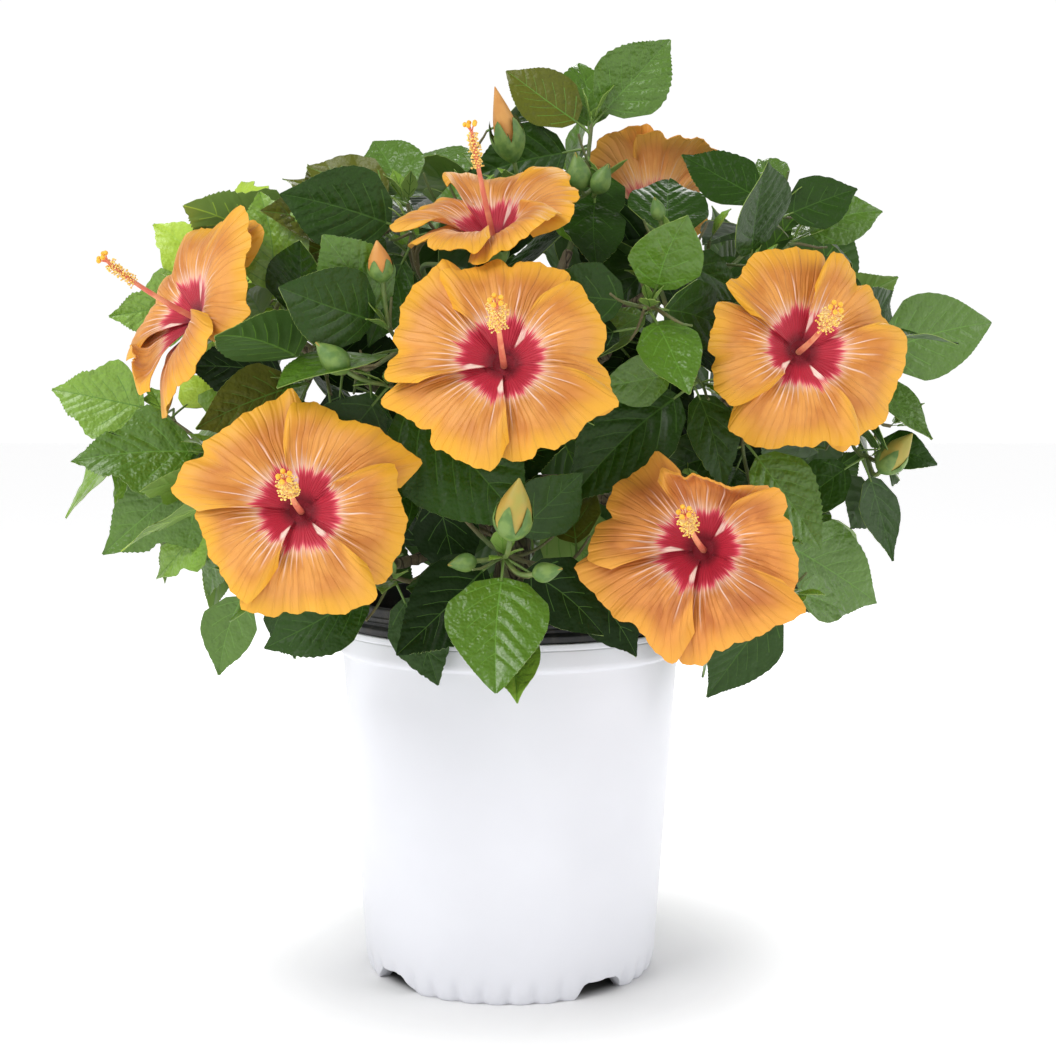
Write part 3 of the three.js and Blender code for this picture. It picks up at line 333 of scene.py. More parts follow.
def trunk_curve(t):
    """The trunk's axis, a smooth curve through its points."""
    path = np.array(TRUNK.path, float)
    path = np.concatenate([[2 * path[0] - path[1]], path, [2 * path[-1] - path[-2]]])
    place = (len(TRUNK.path) - 1) * t
    index = min(math.floor(place), len(TRUNK.path) - 2)
    weight = place - index
    before, start, end, after = path[index : index + 4]
    d0, d1, d2 = (((b - a) @ (b - a)) ** 0.25 for a, b in ((before, start), (start, end), (end, after)))
    leaving = ((start - before) / d0 - (end - before) / (d0 + d1) + (end - start) / d1) * d1
    arriving = ((end - start) / d1 - (after - start) / (d1 + d2) + (after - end) / d2) * d1
    square = -3 * start + 3 * end - 2 * leaving - arriving
    cube = 2 * start - 2 * end + leaving + arriving
    return start + leaving * weight + square * weight**2 + cube * weight**3


def trunk_radius(t):
    radius = np.interp(t * (len(TRUNK.radii) - 1), range(len(TRUNK.radii)), TRUNK.radii)
    height = trunk_curve(t)[2] - TRUNK.path[0][2]
    fade = (max(height, 0) / TRUNK.flare_height) ** TRUNK.flare_fade
    return radius + TRUNK.flare * math.exp(-fade)


def trunk_at(height):
    low, high = 0.0, 1.0
    for _ in range(30):
        middle = (low + high) / 2
        low, high = (middle, high) if trunk_curve(middle)[2] < height else (low, middle)
    return trunk_curve(low)


def bough_curve(mass):
    start = trunk_at(mass.height)
    end = vec(mass.tip)
    outward = unit((end - start) * [1, 1, 0])
    leaving = mixed((outward, BOUGH.outward), (UP, BOUGH.upward))
    return Twig(start, leaving, end, mixed((unit(end - start), 1), (UP, BOUGH.tip_upward)))


boughs = {mass.name: bough_curve(mass) for mass in MASSES}


def shift(bough_name):
    """Where a mass and a bloom share a bough's tip, the way from its middle to the bloom's side."""
    bloom = next((item for item in BLOOMS if item.bough == bough_name), None)
    if not bloom:
        return np.zeros(3)
    bough = boughs[bough_name]
    sideways = unit(np.cross(bough.tangent(1), UP))
    mass = next(item for item in MASSES if item.name == bough_name)
    leader = mass.shoots[0].tip if mass.shoots else mass.centre
    to_bloom, to_leader = (unit(vec(end) - bough.at(1)) @ sideways for end in (bloom.centre, leader))
    return sideways * np.sign(to_bloom - to_leader) * TWIG.offset


# What is already there: points with a radius and an owner, that new leaves keep clear of
class Taken:
    def __init__(self):
        self.at = np.zeros((120000, 3))
        self.radius = np.zeros(120000)
        self.owner = np.zeros(120000, int)
        self.count = 0
        self.names = {}

    def number(self, owner):
        return self.names.setdefault(owner, len(self.names))

    def claim(self, at, radius, owner):
        first, last = self.count, self.count + len(at)
        self.at[first:last] = at
        self.radius[first:last] = radius
        self.owner[first:last] = self.number(owner)
        self.count = last

    def is_clear(self, at, radius, owner, own_spacing):
        middle = at[len(at) // 2]
        known = self.at[: self.count]
        near = np.flatnonzero(((known - middle) ** 2).sum(1) < NEARBY**2)
        if not len(near):
            return True
        share = np.where(self.owner[near] == self.number(owner), own_spacing, 1.0)
        # a few points first, because most leaves that have no room fail at once
        for part in (slice(None, None, 7), slice(None)):
            gap = np.sqrt(((at[part, None] - known[None, near]) ** 2).sum(2))
            room = (np.broadcast_to(radius, len(at))[part, None] + self.radius[near]) * share
            if not (gap > room).all():
                return False
        return True


taken = Taken()


def limb_points(curve, radius_at):
    count = max(4, math.ceil(np.linalg.norm(curve(1) - curve(0)) / LIMB_STEP))
    places = [i / count for i in range(count + 1)]
    return np.array([curve(t) for t in places]), np.array([radius_at(t) + LIMB_MARGIN for t in places])


def hits_pot(at):
    beside = np.hypot(at[:, 0], at[:, 1]) < POT.rim_radius + POT_MARGIN
    return ((at[:, 2] < LINER.height + POT_MARGIN) & beside).any()


def in_space(at, mass):
    return ((((at - mass.centre) / mass.reach) ** 2).sum(1) <= 1).all()


def seen_at(at):
    scale = EYE.distance / (EYE.distance + at[:, 1])
    return at[:, 0] * scale, EYE.height + (at[:, 2] - EYE.height) * scale


def in_outline(at, margin):
    x, z = seen_at(at)
    edges, lows, highs = np.array(OUTLINE, float).T
    if x.min() < edges[0] or x.max() >= edges[-1]:
        return False
    low, high = np.interp(x, edges, lows), np.interp(x, edges, highs)
    return ((z > low - margin) & (z < high + margin)).all()


def shows_sky(at):
    x, z = seen_at(at)
    return any(
        (np.hypot((x - gap.x) / gap.width, (z - gap.z) / gap.height) < 1).any() for gap in SKY
    )


# The growth rule, as in the source
def clock_direction(hour, lean):
    angle, tilt = math.radians(hour * 30), math.radians(lean)
    return vec([math.sin(angle) * math.cos(tilt), -math.sin(tilt), math.cos(angle) * math.cos(tilt)])


def make_leaf(foot, direction, petiole, length, facing, roll):
    upright = unit(facing - direction * (facing @ direction))
    side = np.cross(upright, direction)
    normal = unit(upright * math.cos(roll) + side * math.sin(roll))
    return Values(
        foot=foot, direction=direction, length=length, normal=normal, width=length * LEAF.width_ratio,
        side=np.cross(normal, direction), base=foot + direction * petiole, holder=None, read=False,
    )


LEAF_T = LEAF.neck + (1 - 2 * LEAF.neck) * np.linspace(0, 1, LEAF.samples_along)
LEAF_HALF = np.sin(np.pi * LEAF_T ** LEAF.widest) ** LEAF.fullness / 2
LEAF_ACROSS = np.linspace(-1, 1, LEAF.samples_across)
LEAF_RADII = np.array(
    [LEAF.petiole_radius + LIMB_MARGIN] * len(LEAF.petiole_samples)
    + [LEAF.sample_radius] * len(LEAF_T) * len(LEAF_ACROSS)
)


def leaf_points(leaf):
    """Points over a leaf and its petiole, each with a radius."""
    shares = np.array(LEAF.petiole_samples)[:, None]
    stem = leaf.foot + (leaf.base - leaf.foot) * shares
    middle = leaf.base + leaf.direction * leaf.length * LEAF_T[:, None]
    middle = middle - UP * leaf.length * LEAF.droop * LEAF_T[:, None] ** 2
    out = (leaf.width * LEAF_HALF[:, None] * LEAF_ACROSS)[..., None]
    blade = middle[:, None] + leaf.side * out + leaf.normal * np.abs(out) * LEAF.cup
    return np.concatenate([stem, blade.reshape(-1, 3)]), LEAF_RADII


def start_mass(mass, index):
    bough = boughs[mass.name]
    leaving = bough.tangent(1)
    return Values(
        mass=mass, leaving=leaving, random=seeded(index + 11), leader=None, twigs=[], limbs=[], leaves=[],
        buds=[], start=bough.at(1) + leaving * CLEARANCE - shift(mass.name),
        outward=unit(vec(mass.centre) - CROWN_CENTRE),
    )


def grow_twig(growth, tip, share, skipped):
    leader, outward, name = growth.leader, growth.outward, growth.mass.name
    origin = leader.at(share) if leader else growth.start
    leaving = leader.tangent(share) if leader else growth.leaving
    onward = unit(tip - origin)
    arriving = mixed((onward, TWIG.onward), (UP, TWIG.upward), (outward, TWIG.outward))
    twig = Twig(origin, leaving, tip, arriving)
    base = TWIG.side_radius if leader else TWIG.base_radius
    at, radius = limb_points(twig.at, taper(base, TWIG.tip_radius))
    if skipped and not taken.is_clear(at[skipped:], radius[skipped:], name, RULE_SPACING):
        return None
    growth.leader = leader or twig
    growth.limbs.append((twig, base, TWIG.tip_radius))
    taken.claim(at, radius, name)
    return twig


def grow_leaf(growth, propose, by_rule, tries, spacing, holder, t):
    mass = growth.mass
    for attempt in range(tries):
        leaf = propose(attempt)
        at, radius = leaf_points(leaf)
        fits = in_space(at, mass) and not hits_pot(at) and in_outline(at, 0 if by_rule else SHOOT_MARGIN)
        if fits and not (by_rule and shows_sky(at)) and taken.is_clear(at, radius, mass.name, spacing):
            taken.claim(at, radius, mass.name)
            leaf.holder, leaf.t = holder, t
            growth.leaves.append(leaf)
            return True
    return False


def grow_bud(growth, foot, hour, length, stalk):
    direction = clock_direction(hour, BUD.lean)
    axis = taper(foot, foot + direction * (stalk + length))
    at, radius = limb_points(axis, taper(BUD.stalk_base, length * BUD.width))
    if taken.is_clear(at[2:], radius[2:], growth.mass.name, SHOOT_SPACING):
        taken.claim(at, radius, growth.mass.name)
        growth.buds.append((foot, direction, length, stalk))


def grow_shoot(growth, shoot, order):
    random, outward, mass = growth.random, growth.outward, growth.mass
    share = GROWTH.shoot_from + GROWTH.shoot_span * order / len(mass.shoots)
    twig = grow_twig(growth, vec(shoot.tip), share, 0)
    facing = mixed((FRONT, 0.75), (UP, 0.5), (outward, 0.35))
    for i, (hour, length, lean, roll) in enumerate(shoot.leaves):
        t = GROWTH.leaf_start - GROWTH.shoot_leaf_step * i
        foot = twig.at(t)
        petiole = LEAF.petiole * (0.8 + 0.4 * random())
        turn = math.radians(roll) * (1 if hour > 6 else -1)

        def propose(attempt):
            swing = GROWTH.swing * math.ceil(attempt / 2) * (1 if attempt % 2 else -1)
            direction = clock_direction(hour + swing, lean - GROWTH.lean_back * attempt)
            leaf = make_leaf(
                foot, direction, petiole, length * (1 - GROWTH.shrink * attempt), facing, turn
            )
            leaf.read = True
            return leaf

        grow_leaf(growth, propose, False, GROWTH.tries, SHOOT_SPACING, twig, t)
    for hour, length, stalk in shoot.buds:
        grow_bud(growth, twig.at(1), hour, length, stalk)


def grow_rule_twigs(growth):
    mass, random, outward = growth.mass, growth.random, growth.outward
    lean = GROWTH.seen_outward if mass.shoots else GROWTH.hidden_outward
    for i in range(mass.fill):
        height = GROWTH.highest - GROWTH.drop * (i + 0.5) / mass.fill
        flat = math.sqrt(1 - height * height)
        share = GROWTH.rule_from + GROWTH.rule_span * i / mass.fill
        twig = None
        for _ in range(GROWTH.tries):
            turn = GOLDEN_ANGLE * i + 2 * math.pi * random()
            spread = vec([flat * math.cos(turn), flat * math.sin(turn), height]) * GROWTH.spread
            spread = (spread + outward * lean) * mass.reach * GROWTH.reach
            skipped = GROWTH.side_skip if growth.leader else GROWTH.leader_skip
            twig = grow_twig(growth, vec(mass.centre) + spread, share, skipped)
            if twig:
                break
        if twig:
            growth.twigs.append(twig)


def grow_rule_leaf(growth, twig, order):
    random, outward = growth.random, growth.outward
    t = GROWTH.leaf_start - GROWTH.leaf_step * order
    foot, tangent = twig.at(t), twig.tangent(t)
    sides = across_limb(tangent)
    facing = mixed((outward, 0.8), (UP, 0.6))

    def propose(_):
        turn = GOLDEN_ANGLE * order + 2 * math.pi * random()
        direction = mixed(*spread_round(sides, turn), (tangent, 0.5), (outward, 0.3))
        petiole = LEAF.petiole * (0.8 + 0.8 * random())
        length = GROWTH.min_length + GROWTH.length_span * random()
        return make_leaf(foot, direction, petiole, length, facing, GROWTH.roll_span * (random() - 0.5))

    grow_leaf(growth, propose, True, GROWTH.tries, RULE_SPACING, twig, t)


# Blooms, as in the source
def bloom_frame(bloom):
    axis = unit(vec(bloom.facing))
    side = unit(np.cross(UP, axis))
    return Values(centre=vec(bloom.centre), axis=axis, side=side, upright=np.cross(axis, side))


def source_petal_point(bloom, f, petal, across, t):
    angle = math.radians(bloom.turn) + 2 * math.pi / BLOOM.petals * petal + across * BLOOM.half_angle
    reach = BLOOM.throat + bloom.size * BLOOM.length * t * (1 - BLOOM.notch * across * across)
    flat = reach * math.sin(bloom.open * math.pi / 2) ** (1 - t / 2)
    dish = BLOOM.belly * math.sin(math.pi * t) - BLOOM.funnel * (1 - t) ** 2 - BLOOM.curl * t**3
    height = dish + (1 - bloom.open) * BLOOM.closing * t + BLOOM.tilt * across * t
    sideways = f.centre + f.side * flat * math.cos(angle)
    return sideways + f.upright * flat * math.sin(angle) + f.axis * height


def column_curve(f):
    """The column leaves along the bloom's axis and lifts a little."""
    foot, middle = f.centre - f.axis * BLOOM.column_foot, f.centre + f.axis * BLOOM.column / 2
    end = f.centre + f.axis * BLOOM.column + UP * BLOOM.column * BLOOM.column_lift
    return lambda t: foot * (1 - t) ** 2 + middle * 2 * t * (1 - t) + end * t * t


def bloom_stalk(bloom, f):
    bough = boughs[bloom.bough]
    leaving = bough.tangent(1)
    start = bough.at(1) + leaving * CLEARANCE + shift(bloom.bough)
    return Twig(start, leaving, f.centre - f.axis * (BLOOM.neck + BLOOM.calyx), f.axis)


def claim_bloom(bloom):
    f = bloom_frame(bloom)
    name = "bloom_" + bloom.name
    last = BLOOM.samples - 1
    taken.claim(*limb_points(column_curve(f), taper(BLOOM.column_radius, BLOOM.anthers)), name)
    points = [
        source_petal_point(bloom, f, petal, 2 * j / last - 1, i / last)
        for petal in range(BLOOM.petals) for i in range(last + 1) for j in range(last + 1)
    ]
    taken.claim(np.array(points), BLOOM.sample_radius, name)
    taken.claim(*limb_points(bloom_stalk(bloom, f).at, lambda t: BLOOM.stalk_radius), name)


def grow_fine(growth, random, order):
    """Side twigs of every twig that the source grows, and leaves on both, where there is room."""
    mass, outward = growth.mass, growth.outward
    facing = mixed((outward, 0.7), (UP, 0.6), (FRONT, 0.25))
    share = FINE.shares[order]
    for i, (twig, _, _) in enumerate(growth.source_limbs):
        foot, tangent = twig.at(share), twig.tangent(share)
        sides = across_limb(tangent)
        holder, places, claimed = twig, [share], None
        for _ in range(FINE.twig_tries):
            turn = GOLDEN_ANGLE * (3 * i + order) + 2 * math.pi * random()
            way = mixed(
                *spread_round(sides, turn, FINE.spread), (tangent, FINE.onward), (outward, FINE.outward)
            )
            length = between(FINE.length, random())
            side = Twig(foot, unit(way + tangent), foot + way * length, unit(way + UP * 0.4))
            at, radius = limb_points(side.at, taper(FINE.radius, FINE.tip_radius))
            fits = in_space(at, mass) and not hits_pot(at) and in_outline(at, 0)
            if fits and taken.is_clear(at[2:], radius[2:], mass.name, FINE.spacing):
                holder, places, claimed = side, FINE.places, (at, radius)
                break
        borne = 0
        for number, t in enumerate(places):
            leaf_foot, leaf_tangent = holder.at(t), holder.tangent(t)
            leaf_sides = across_limb(leaf_tangent, sides[0] * 0.01)

            def propose(_):
                turn = GOLDEN_ANGLE * (number + order) + 2 * math.pi * random()
                direction = mixed(*spread_round(leaf_sides, turn), (leaf_tangent, 0.6), (outward, 0.35))
                petiole = LEAF.petiole * (0.5 + 0.6 * random())
                length = between(FINE.leaf, random())
                return make_leaf(leaf_foot, direction, petiole, length, facing, 0.9 * (random() - 0.5))

            borne += bool(grow_leaf(growth, propose, True, FINE.tries, FINE.spacing, holder, t))
        if claimed and borne:
            taken.claim(*claimed, mass.name)
            growth.limbs.append((side, FINE.radius, FINE.tip_radius))


def grow_crown():
    taken.claim(*limb_points(trunk_curve, trunk_radius), "trunk")
    for name, curve in boughs.items():
        taken.claim(*limb_points(curve.at, taper(BOUGH.base_radius, BOUGH.tip_radius)), "bough_" + name)
    for bloom in BLOOMS:
        claim_bloom(bloom)
    growths = [start_mass(mass, index) for index, mass in enumerate(MASSES)]
    for growth in growths:
        for order, shoot in enumerate(growth.mass.shoots):
            grow_shoot(growth, shoot, order)
    for growth in growths:
        grow_rule_twigs(growth)
    for growth in growths:
        for order in range(GROWTH.leaves):
            for twig in growth.twigs:
                grow_rule_leaf(growth, twig, order)
    for growth in growths:
        growth.source_limbs = list(growth.limbs)
        growth.source_leaves = len(growth.leaves)
    randoms = [seeded(index + 301) for index in range(len(growths))]
    for order in range(len(FINE.shares)):
        for growth, random in zip(growths, randoms):
            grow_fine(growth, random, order)
    return growths


# Meshes: vertices and faces gathered in millimetres, and made in metres
def new_object(name, data):
    item = bpy.data.objects.new(name, data)
    bpy.context.scene.collection.objects.link(item)
    return item


def new_mesh(name, points, faces):
    mesh = bpy.data.meshes.new(name)
    mesh.from_pydata(points, [], faces)
    return mesh


def evaluated(item):
    """An object's mesh with its modifiers applied."""
    return bpy.data.meshes.new_from_object(item.evaluated_get(bpy.context.evaluated_depsgraph_get()))


def finish_piece(name, mesh, nodes):
    piece = new_object(name, mesh)
    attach(piece, "root")
    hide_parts(*nodes)
    return piece


def grid_faces(rows, columns, closed=False, flip=False):
    """Faces of a grid of points, rows first. closed joins the last column to the first."""
    index = np.arange(rows * columns).reshape(rows, columns)
    if closed:
        index = np.concatenate([index, index[:, :1]], 1)
    a, b, c, d = index[:-1, :-1], index[1:, :-1], index[1:, 1:], index[:-1, 1:]
    order = [a, d, c, b] if flip else [a, b, c, d]
    return np.stack([part.ravel() for part in order], 1)


class Shape:
    def __init__(self):
        self.points, self.faces, self.kinds, self.maps, self.count = [], [], [], [], 0

    def add(self, points, faces, kind=0, place=None):
        """kind is a material's place in the list, for all the faces or for each. place holds two
        numbers a point, for materials that vary over the piece."""
        faces = np.asarray(faces, int)
        points = np.asarray(points, float).reshape(-1, 3)
        self.points.append(points)
        self.faces.append(faces + self.count)
        self.kinds.append(np.broadcast_to(kind, len(faces)))
        self.maps.append(np.zeros((len(points), 2)) if place is None else np.asarray(place).reshape(-1, 2))
        self.count += len(points)

    def add_grid(self, points, kind=0, place=None, closed=True, flip=True):
        self.add(points, grid_faces(*points.shape[:2], closed, flip), kind, place)

    def make(self, name, materials, nodes, slot, flat=False):
        mesh = bpy.data.meshes.new(name)
        points = np.concatenate(self.points) * MM
        corners = np.concatenate([f.ravel() for f in self.faces])
        sizes = np.concatenate([np.full(len(f), f.shape[1]) for f in self.faces])
        starts = np.concatenate([[0], np.cumsum(sizes)[:-1]])
        mesh.vertices.add(len(points))
        mesh.vertices.foreach_set("co", points.astype(np.float32).ravel())
        mesh.loops.add(len(corners))
        mesh.loops.foreach_set("vertex_index", corners.astype(np.int32))
        mesh.polygons.add(len(sizes))
        mesh.polygons.foreach_set("loop_start", starts.astype(np.int32))
        mesh.polygons.foreach_set("material_index", np.concatenate(self.kinds).astype(np.int32))
        mesh.polygons.foreach_set("use_smooth", np.full(len(sizes), not flat))
        layer = mesh.uv_layers.new(name="Place")
        layer.uv.foreach_set("vector", np.concatenate(self.maps)[corners].astype(np.float32).ravel())
        mesh.update(calc_edges=True)
        mesh.validate()
        for item in materials:
            mesh.materials.append(item)
        return finish_piece(name, mesh, nodes)


def full_turn(count):
    return np.linspace(0, 2 * np.pi, count, endpoint=False)


def ring_round(side, other, radius, turn):
    """Points round a middle, in the plane of two directions."""
    return side * (radius * np.cos(turn))[..., None] + other * (radius * np.sin(turn))[..., None]


def joined(*columns):
    """A grid of points or places from its coordinates."""
    return np.stack(np.broadcast_arrays(*columns), 2)


def add_sheet(shape, points, thickness, upper, under, edge, place=None):
    """A thin closed sheet: a grid of points, the same again below it, and a strip round the edge."""
    rows, columns = points.shape[:2]
    normal = np.cross(np.gradient(points, axis=0), np.gradient(points, axis=1))
    normal = normal / np.maximum(np.linalg.norm(normal, axis=2, keepdims=True), 1e-9)
    below = points - normal * thickness
    shape.add_grid(points, upper, place, closed=False, flip=False)
    shape.add_grid(below, under, place, closed=False)
    ring = [(r, 0) for r in range(rows)] + [(rows - 1, c) for c in range(1, columns)]
    ring += [(r, columns - 1) for r in range(rows - 2, -1, -1)] + [(0, c) for c in range(columns - 2, 0, -1)]
    r, c = np.array(ring).T
    strip_place = None if place is None else np.stack([place[r, c], place[r, c]])
    shape.add_grid(np.stack([below[r, c], points[r, c]]), edge, strip_place, flip=False)


def frames_along(points):
    """Two directions across a line at each of its points, that turn as little as they can."""
    tangents = np.gradient(points, axis=0)
    tangents /= np.linalg.norm(tangents, axis=1, keepdims=True)
    side = np.cross(tangents[0], [1.0, 0, 0] if abs(tangents[0][0]) < 0.7 else [0, 1.0, 0])
    sides = []
    for tangent in tangents:
        side = unit(side - tangent * (side @ tangent))
        sides.append(side)
    return np.array(sides), np.cross(tangents, sides)


def add_tube(shape, points, radii, sides, kind=0, caps=True):
    """A round limb along a line of points. Its ends are closed with a fan to a point in each."""
    points = np.asarray(points, float)
    side, other = frames_along(points)
    ring = ring_round(side[:, None], other[:, None], 1.0, full_turn(sides)[None])
    rings = points[:, None] + ring * np.asarray(radii, float)[:, None, None]
    place = np.stack(np.meshgrid(np.linspace(0, 1, sides), np.linspace(0, 1, len(points))), 2)
    shape.add_grid(rings, kind, place)
    for row, step in ((0, 1), (-1, -1)) if caps else ():
        fan = [[0, 1 + i, 1 + (i + 1) % sides][::step] for i in range(sides)]
        shape.add(np.concatenate([[points[row]], rings[row]]), fan, kind)


# Leaves: rows run out along the lateral veins, which are narrow strips of their own
VEIN_SKEW = 1.1
BLADE_COLUMNS = np.array([-1, -0.68, -0.34, -0.02, 0.02, 0.34, 0.68, 1])
MIDRIB = slice(3, 5)
TIP_ROWS = [(0.8, 0.5, -1), (0.88, 0.3, 0.6), (0.95, 0.1, -0.5), (0.995, 0, 0)]
TEETH = (-1, 0.7)


def blade_grid(veins, half_vein, between):
    """A blade's rows and columns: how far out each point lies, how much it is blistered up, each row's
    tooth, and which faces are veins."""
    rows = [(0.004, 0, 0, False)]
    for place, following in zip(veins, veins[1:] + [TIP_ROWS[0][0]]):
        rows += [(place - half_vein, 0, 1, True), (place + half_vein, 0, 1, False)]
        for k, share in enumerate(between):
            spot = place + (following - place) * share
            rows.append((spot, math.sin(math.pi * share), TEETH[k % 2], False))
    rows += [(*row, False) for row in TIP_ROWS]
    v, puff, tooth, vein = (np.array(column) for column in zip(*rows))
    skew = VEIN_SKEW * np.sqrt(v) * (1 - v) ** 1.5
    u = BLADE_COLUMNS
    t = v[:, None] + skew[:, None] * np.abs(u)[None] ** 1.25
    strips = np.zeros((len(rows) - 1, len(u) - 1), bool)
    strips[vein[:-1]] = (np.abs(u[:-1] + u[1:]) / 2 < 0.8)[None]
    strips[:, MIDRIB.start] = True
    return Values(
        v=v, t=np.clip(t, 0, 1), puff=puff[:, None] * np.sin(np.pi * np.abs(u) ** 0.7)[None], tooth=tooth,
        strips=strips.ravel(),
    )


LARGE_GRID = blade_grid([0.05, 0.15, 0.27, 0.4, 0.54, 0.69], 0.0035, [0.25, 0.5, 0.75])
SMALL_GRID = blade_grid([0.07, 0.24, 0.44, 0.65], 0.005, [0.33, 0.67])
YOUNG_GRID = blade_grid([0.12, 0.45], 0.012, [0.5])
LARGE_FROM = 58

# How leaves differ, each range drawn anew for every leaf. wave, bite and puff are shares of its length,
# and what round leaves have less or more of comes last.
BLADE = Values(
    cup=[-0.05, 0.13], curl=[-0.06, 0.2], twist=[-0.22, 0.22], bend=[-0.05, 0.05], wave=[0.006, 0.02],
    waves=[1.4, 2.6], width=[0.86, 1.06], point=[0.15, 0.4], bite=[0.002, 0.01], puff=[0.008, 0.018],
    thickness=0.38, midrib=[0.62, 0.16], midrib_depth=0.35, curl_from=0.55, round_flat=0.75, round_wide=0.22,
)
LOBES = [(0.26, 0.4, 0.1), (-0.32, 0.63, 0.09)]


def outline_width(t, lobed, point):
    width = np.sin(np.pi * np.clip(t, 0, 1) ** LEAF.widest).clip(0) ** LEAF.fullness
    width = width * (1 - point * smooth(0.68, 1.0, t))
    first, second = (size * np.exp(-(((t - at) / reach) ** 2)) for size, at, reach in LOBES)
    return width * (1 + lobed * (first + second))


def add_leaf(shape, leaf, look, rng, grid):
    """One leaf: a blade that droops, cups, ripples and curls a little in its own way, and a petiole.
    look names its upper material and how lobed it is."""
    u = BLADE_COLUMNS[None]
    t, v, length = grid.t, grid.v[:, None], leaf.length
    cup = LEAF.cup + rng.uniform(*BLADE.cup)
    curl, twist, bend = rng.uniform(*BLADE.curl), rng.uniform(*BLADE.twist), rng.uniform(*BLADE.bend)
    cup, curl, twist = (value * (1 - BLADE.round_flat * look.round) for value in (cup, curl, twist))
    wave, waves = rng.uniform(*BLADE.wave) * length, rng.uniform(*BLADE.waves)
    phases = rng.uniform(0, 6.3, 2)
    width = leaf.width * rng.uniform(*BLADE.width) * (1 + BLADE.round_wide * look.round)
    point = rng.uniform(*BLADE.point) * (1 - look.round)
    half = width / 2 * outline_width(t[:, -1], look.lobed, point)
    bite = rng.uniform(*BLADE.bite) * length
    bite = bite * smooth(0.3, 0.5, t[:, -1]) * smooth(1.0, 0.9, t[:, -1])
    side = np.broadcast_to(u, t.shape) * np.maximum(half, 0.5)[:, None]
    side[:, [0, -1]] += np.array([-1, 1]) * (bite * grid.tooth)[:, None]
    widest, least = BLADE.midrib
    midrib = np.maximum(widest * (1 - 0.75 * v[:, 0]), least) * length / 80
    side[:, MIDRIB] = np.minimum(midrib, half + 0.1)[:, None] * [-1, 1]
    phase = np.where(u < 0, phases[0], phases[1])
    lift = np.abs(side) * cup + wave * np.sin(2 * np.pi * waves * t + phase) * np.abs(u) ** 2
    lift = lift + rng.uniform(*BLADE.puff) * length * grid.puff
    lift = lift - curl * length * np.clip(t - BLADE.curl_from, 0, None) ** 2
    lift[:, MIDRIB] -= BLADE.midrib_depth
    turn = twist * t
    sideways = bend * length * np.sin(np.pi * t) + side * np.cos(turn)
    height = lift + side * np.sin(turn)
    sag = length * LEAF.droop * t * t
    points = (
        leaf.base + leaf.direction * (length * t)[..., None] + leaf.side * sideways[..., None]
        + leaf.normal * height[..., None] - UP * sag[..., None]
    )
    upper, under = (np.where(grid.strips, look.vein, kind) for kind in (look.upper, look.under))
    add_sheet(shape, points, BLADE.thickness, upper, under, look.edge)
    foot = leaf.holder.smooth_at(leaf.t) if leaf.holder else leaf.foot
    neck = points[1, MIDRIB].mean(0)
    bend_at = (foot + neck) / 2 + leaf.direction + UP * 0.8
    s = np.linspace(0, 1, 6)[:, None]
    line = foot * (1 - s) ** 2 + bend_at * 2 * s * (1 - s) + neck * s**2
    add_tube(shape, line, np.linspace(1.0, 0.8, 6) * min(1, length / 60), 6, look.petiole, caps=False)


def own_random(index):
    """A generator of its own for each thing that varies, so that one doesn't change the next."""
    return np.random.default_rng(7000 + index)


def covers_bloom(leaf):
    """Whether a leaf lies in front of a bloom that faces the front, or of an opening."""
    at, _ = leaf_points(leaf)
    x, z = seen_at(at)
    for bloom in BLOOMS:
        centre = vec(bloom.centre)
        if unit(vec(bloom.facing)) @ FRONT < FACES_FRONT:
            continue
        bloom_x, bloom_z = seen_at(centre[None])
        reach = FREE_SHARE * (BLOOM.throat + BLOOM.length * bloom.size)
        if ((np.hypot(x - bloom_x, z - bloom_z) < reach) & (at[:, 1] < centre[1])).any():
            return True
    middle = leaf_middle(leaf)
    x, z = seen_at(middle[None])
    return middle[1] < WINDOW_DEPTH and any(np.hypot(x - a, z - b)[0] < reach for a, b, reach in WINDOWS)


def leaf_middle(leaf):
    return leaf.base + leaf.direction * leaf.length * 0.5


def seen_blades(leaves):
    """Points over the blades of leaves as the viewer sees them, and their depths."""
    first = len(LEAF.petiole_samples)
    at = np.concatenate([leaf_points(leaf)[0][first:] for leaf in leaves])
    return *seen_at(at), at[:, 1]


def hides_shown_leaf(leaf, shown):
    """Whether much of a leaf lies in front of leaves that are read from the photo."""
    x, z, depth = seen_blades([leaf])
    away = np.hypot(x[:, None] - shown[0], z[:, None] - shown[1])
    hidden = (away < HIDING.near) & (depth[:, None] < shown[2] - HIDING.in_front)
    return hidden.any(1).mean() > HIDING.share


# Which green a leaf has, partly painted light and shade. A leaf's number is higher where it stands out of
# the crown and faces up, as painted light, and lower deep in the crown, as painted shade; it is also higher
# at the left and varies at random, and each step of the number is a lighter tone, which the veins and
# underside follow.
LEAF_TONES = ["leaf_deep", "leaf_dark", "leaf_mid", "leaf_fresh", "leaf_light", "leaf_olive"]
LEAF_KINDS = LEAF_TONES + [
    "leaf_under", "leaf_under_light", "vein_dark", "vein_mid", "vein_light", "leaf_edge", "petiole",
]
TONE_VEINS = ["vein_dark", "vein_dark", "vein_mid", "vein_mid", "vein_light", "vein_mid"]
TONE_STEPS = [0.1, 0.34, 0.64, 1.05]
LIGHT_TONES = (3, 4)
OLIVE = 5
LOOK = Values(
    crown_reach=[300, 230, 220], inner=0.55, facing_up=0.25, by_chance=0.24, left_of=-150, high=355,
    bright=[0.5, 0.9], mixed=[-0.2, 0.6], lobed=[0.4, 1.1], read=(0.28, 0.62), foremost_y=-165,
    foremost_top=265, foremost=0.6, front_low=[-0.1, 0.45], rounded=[0.3, 0.6], olive=0.06, olive_top=0.3,
)


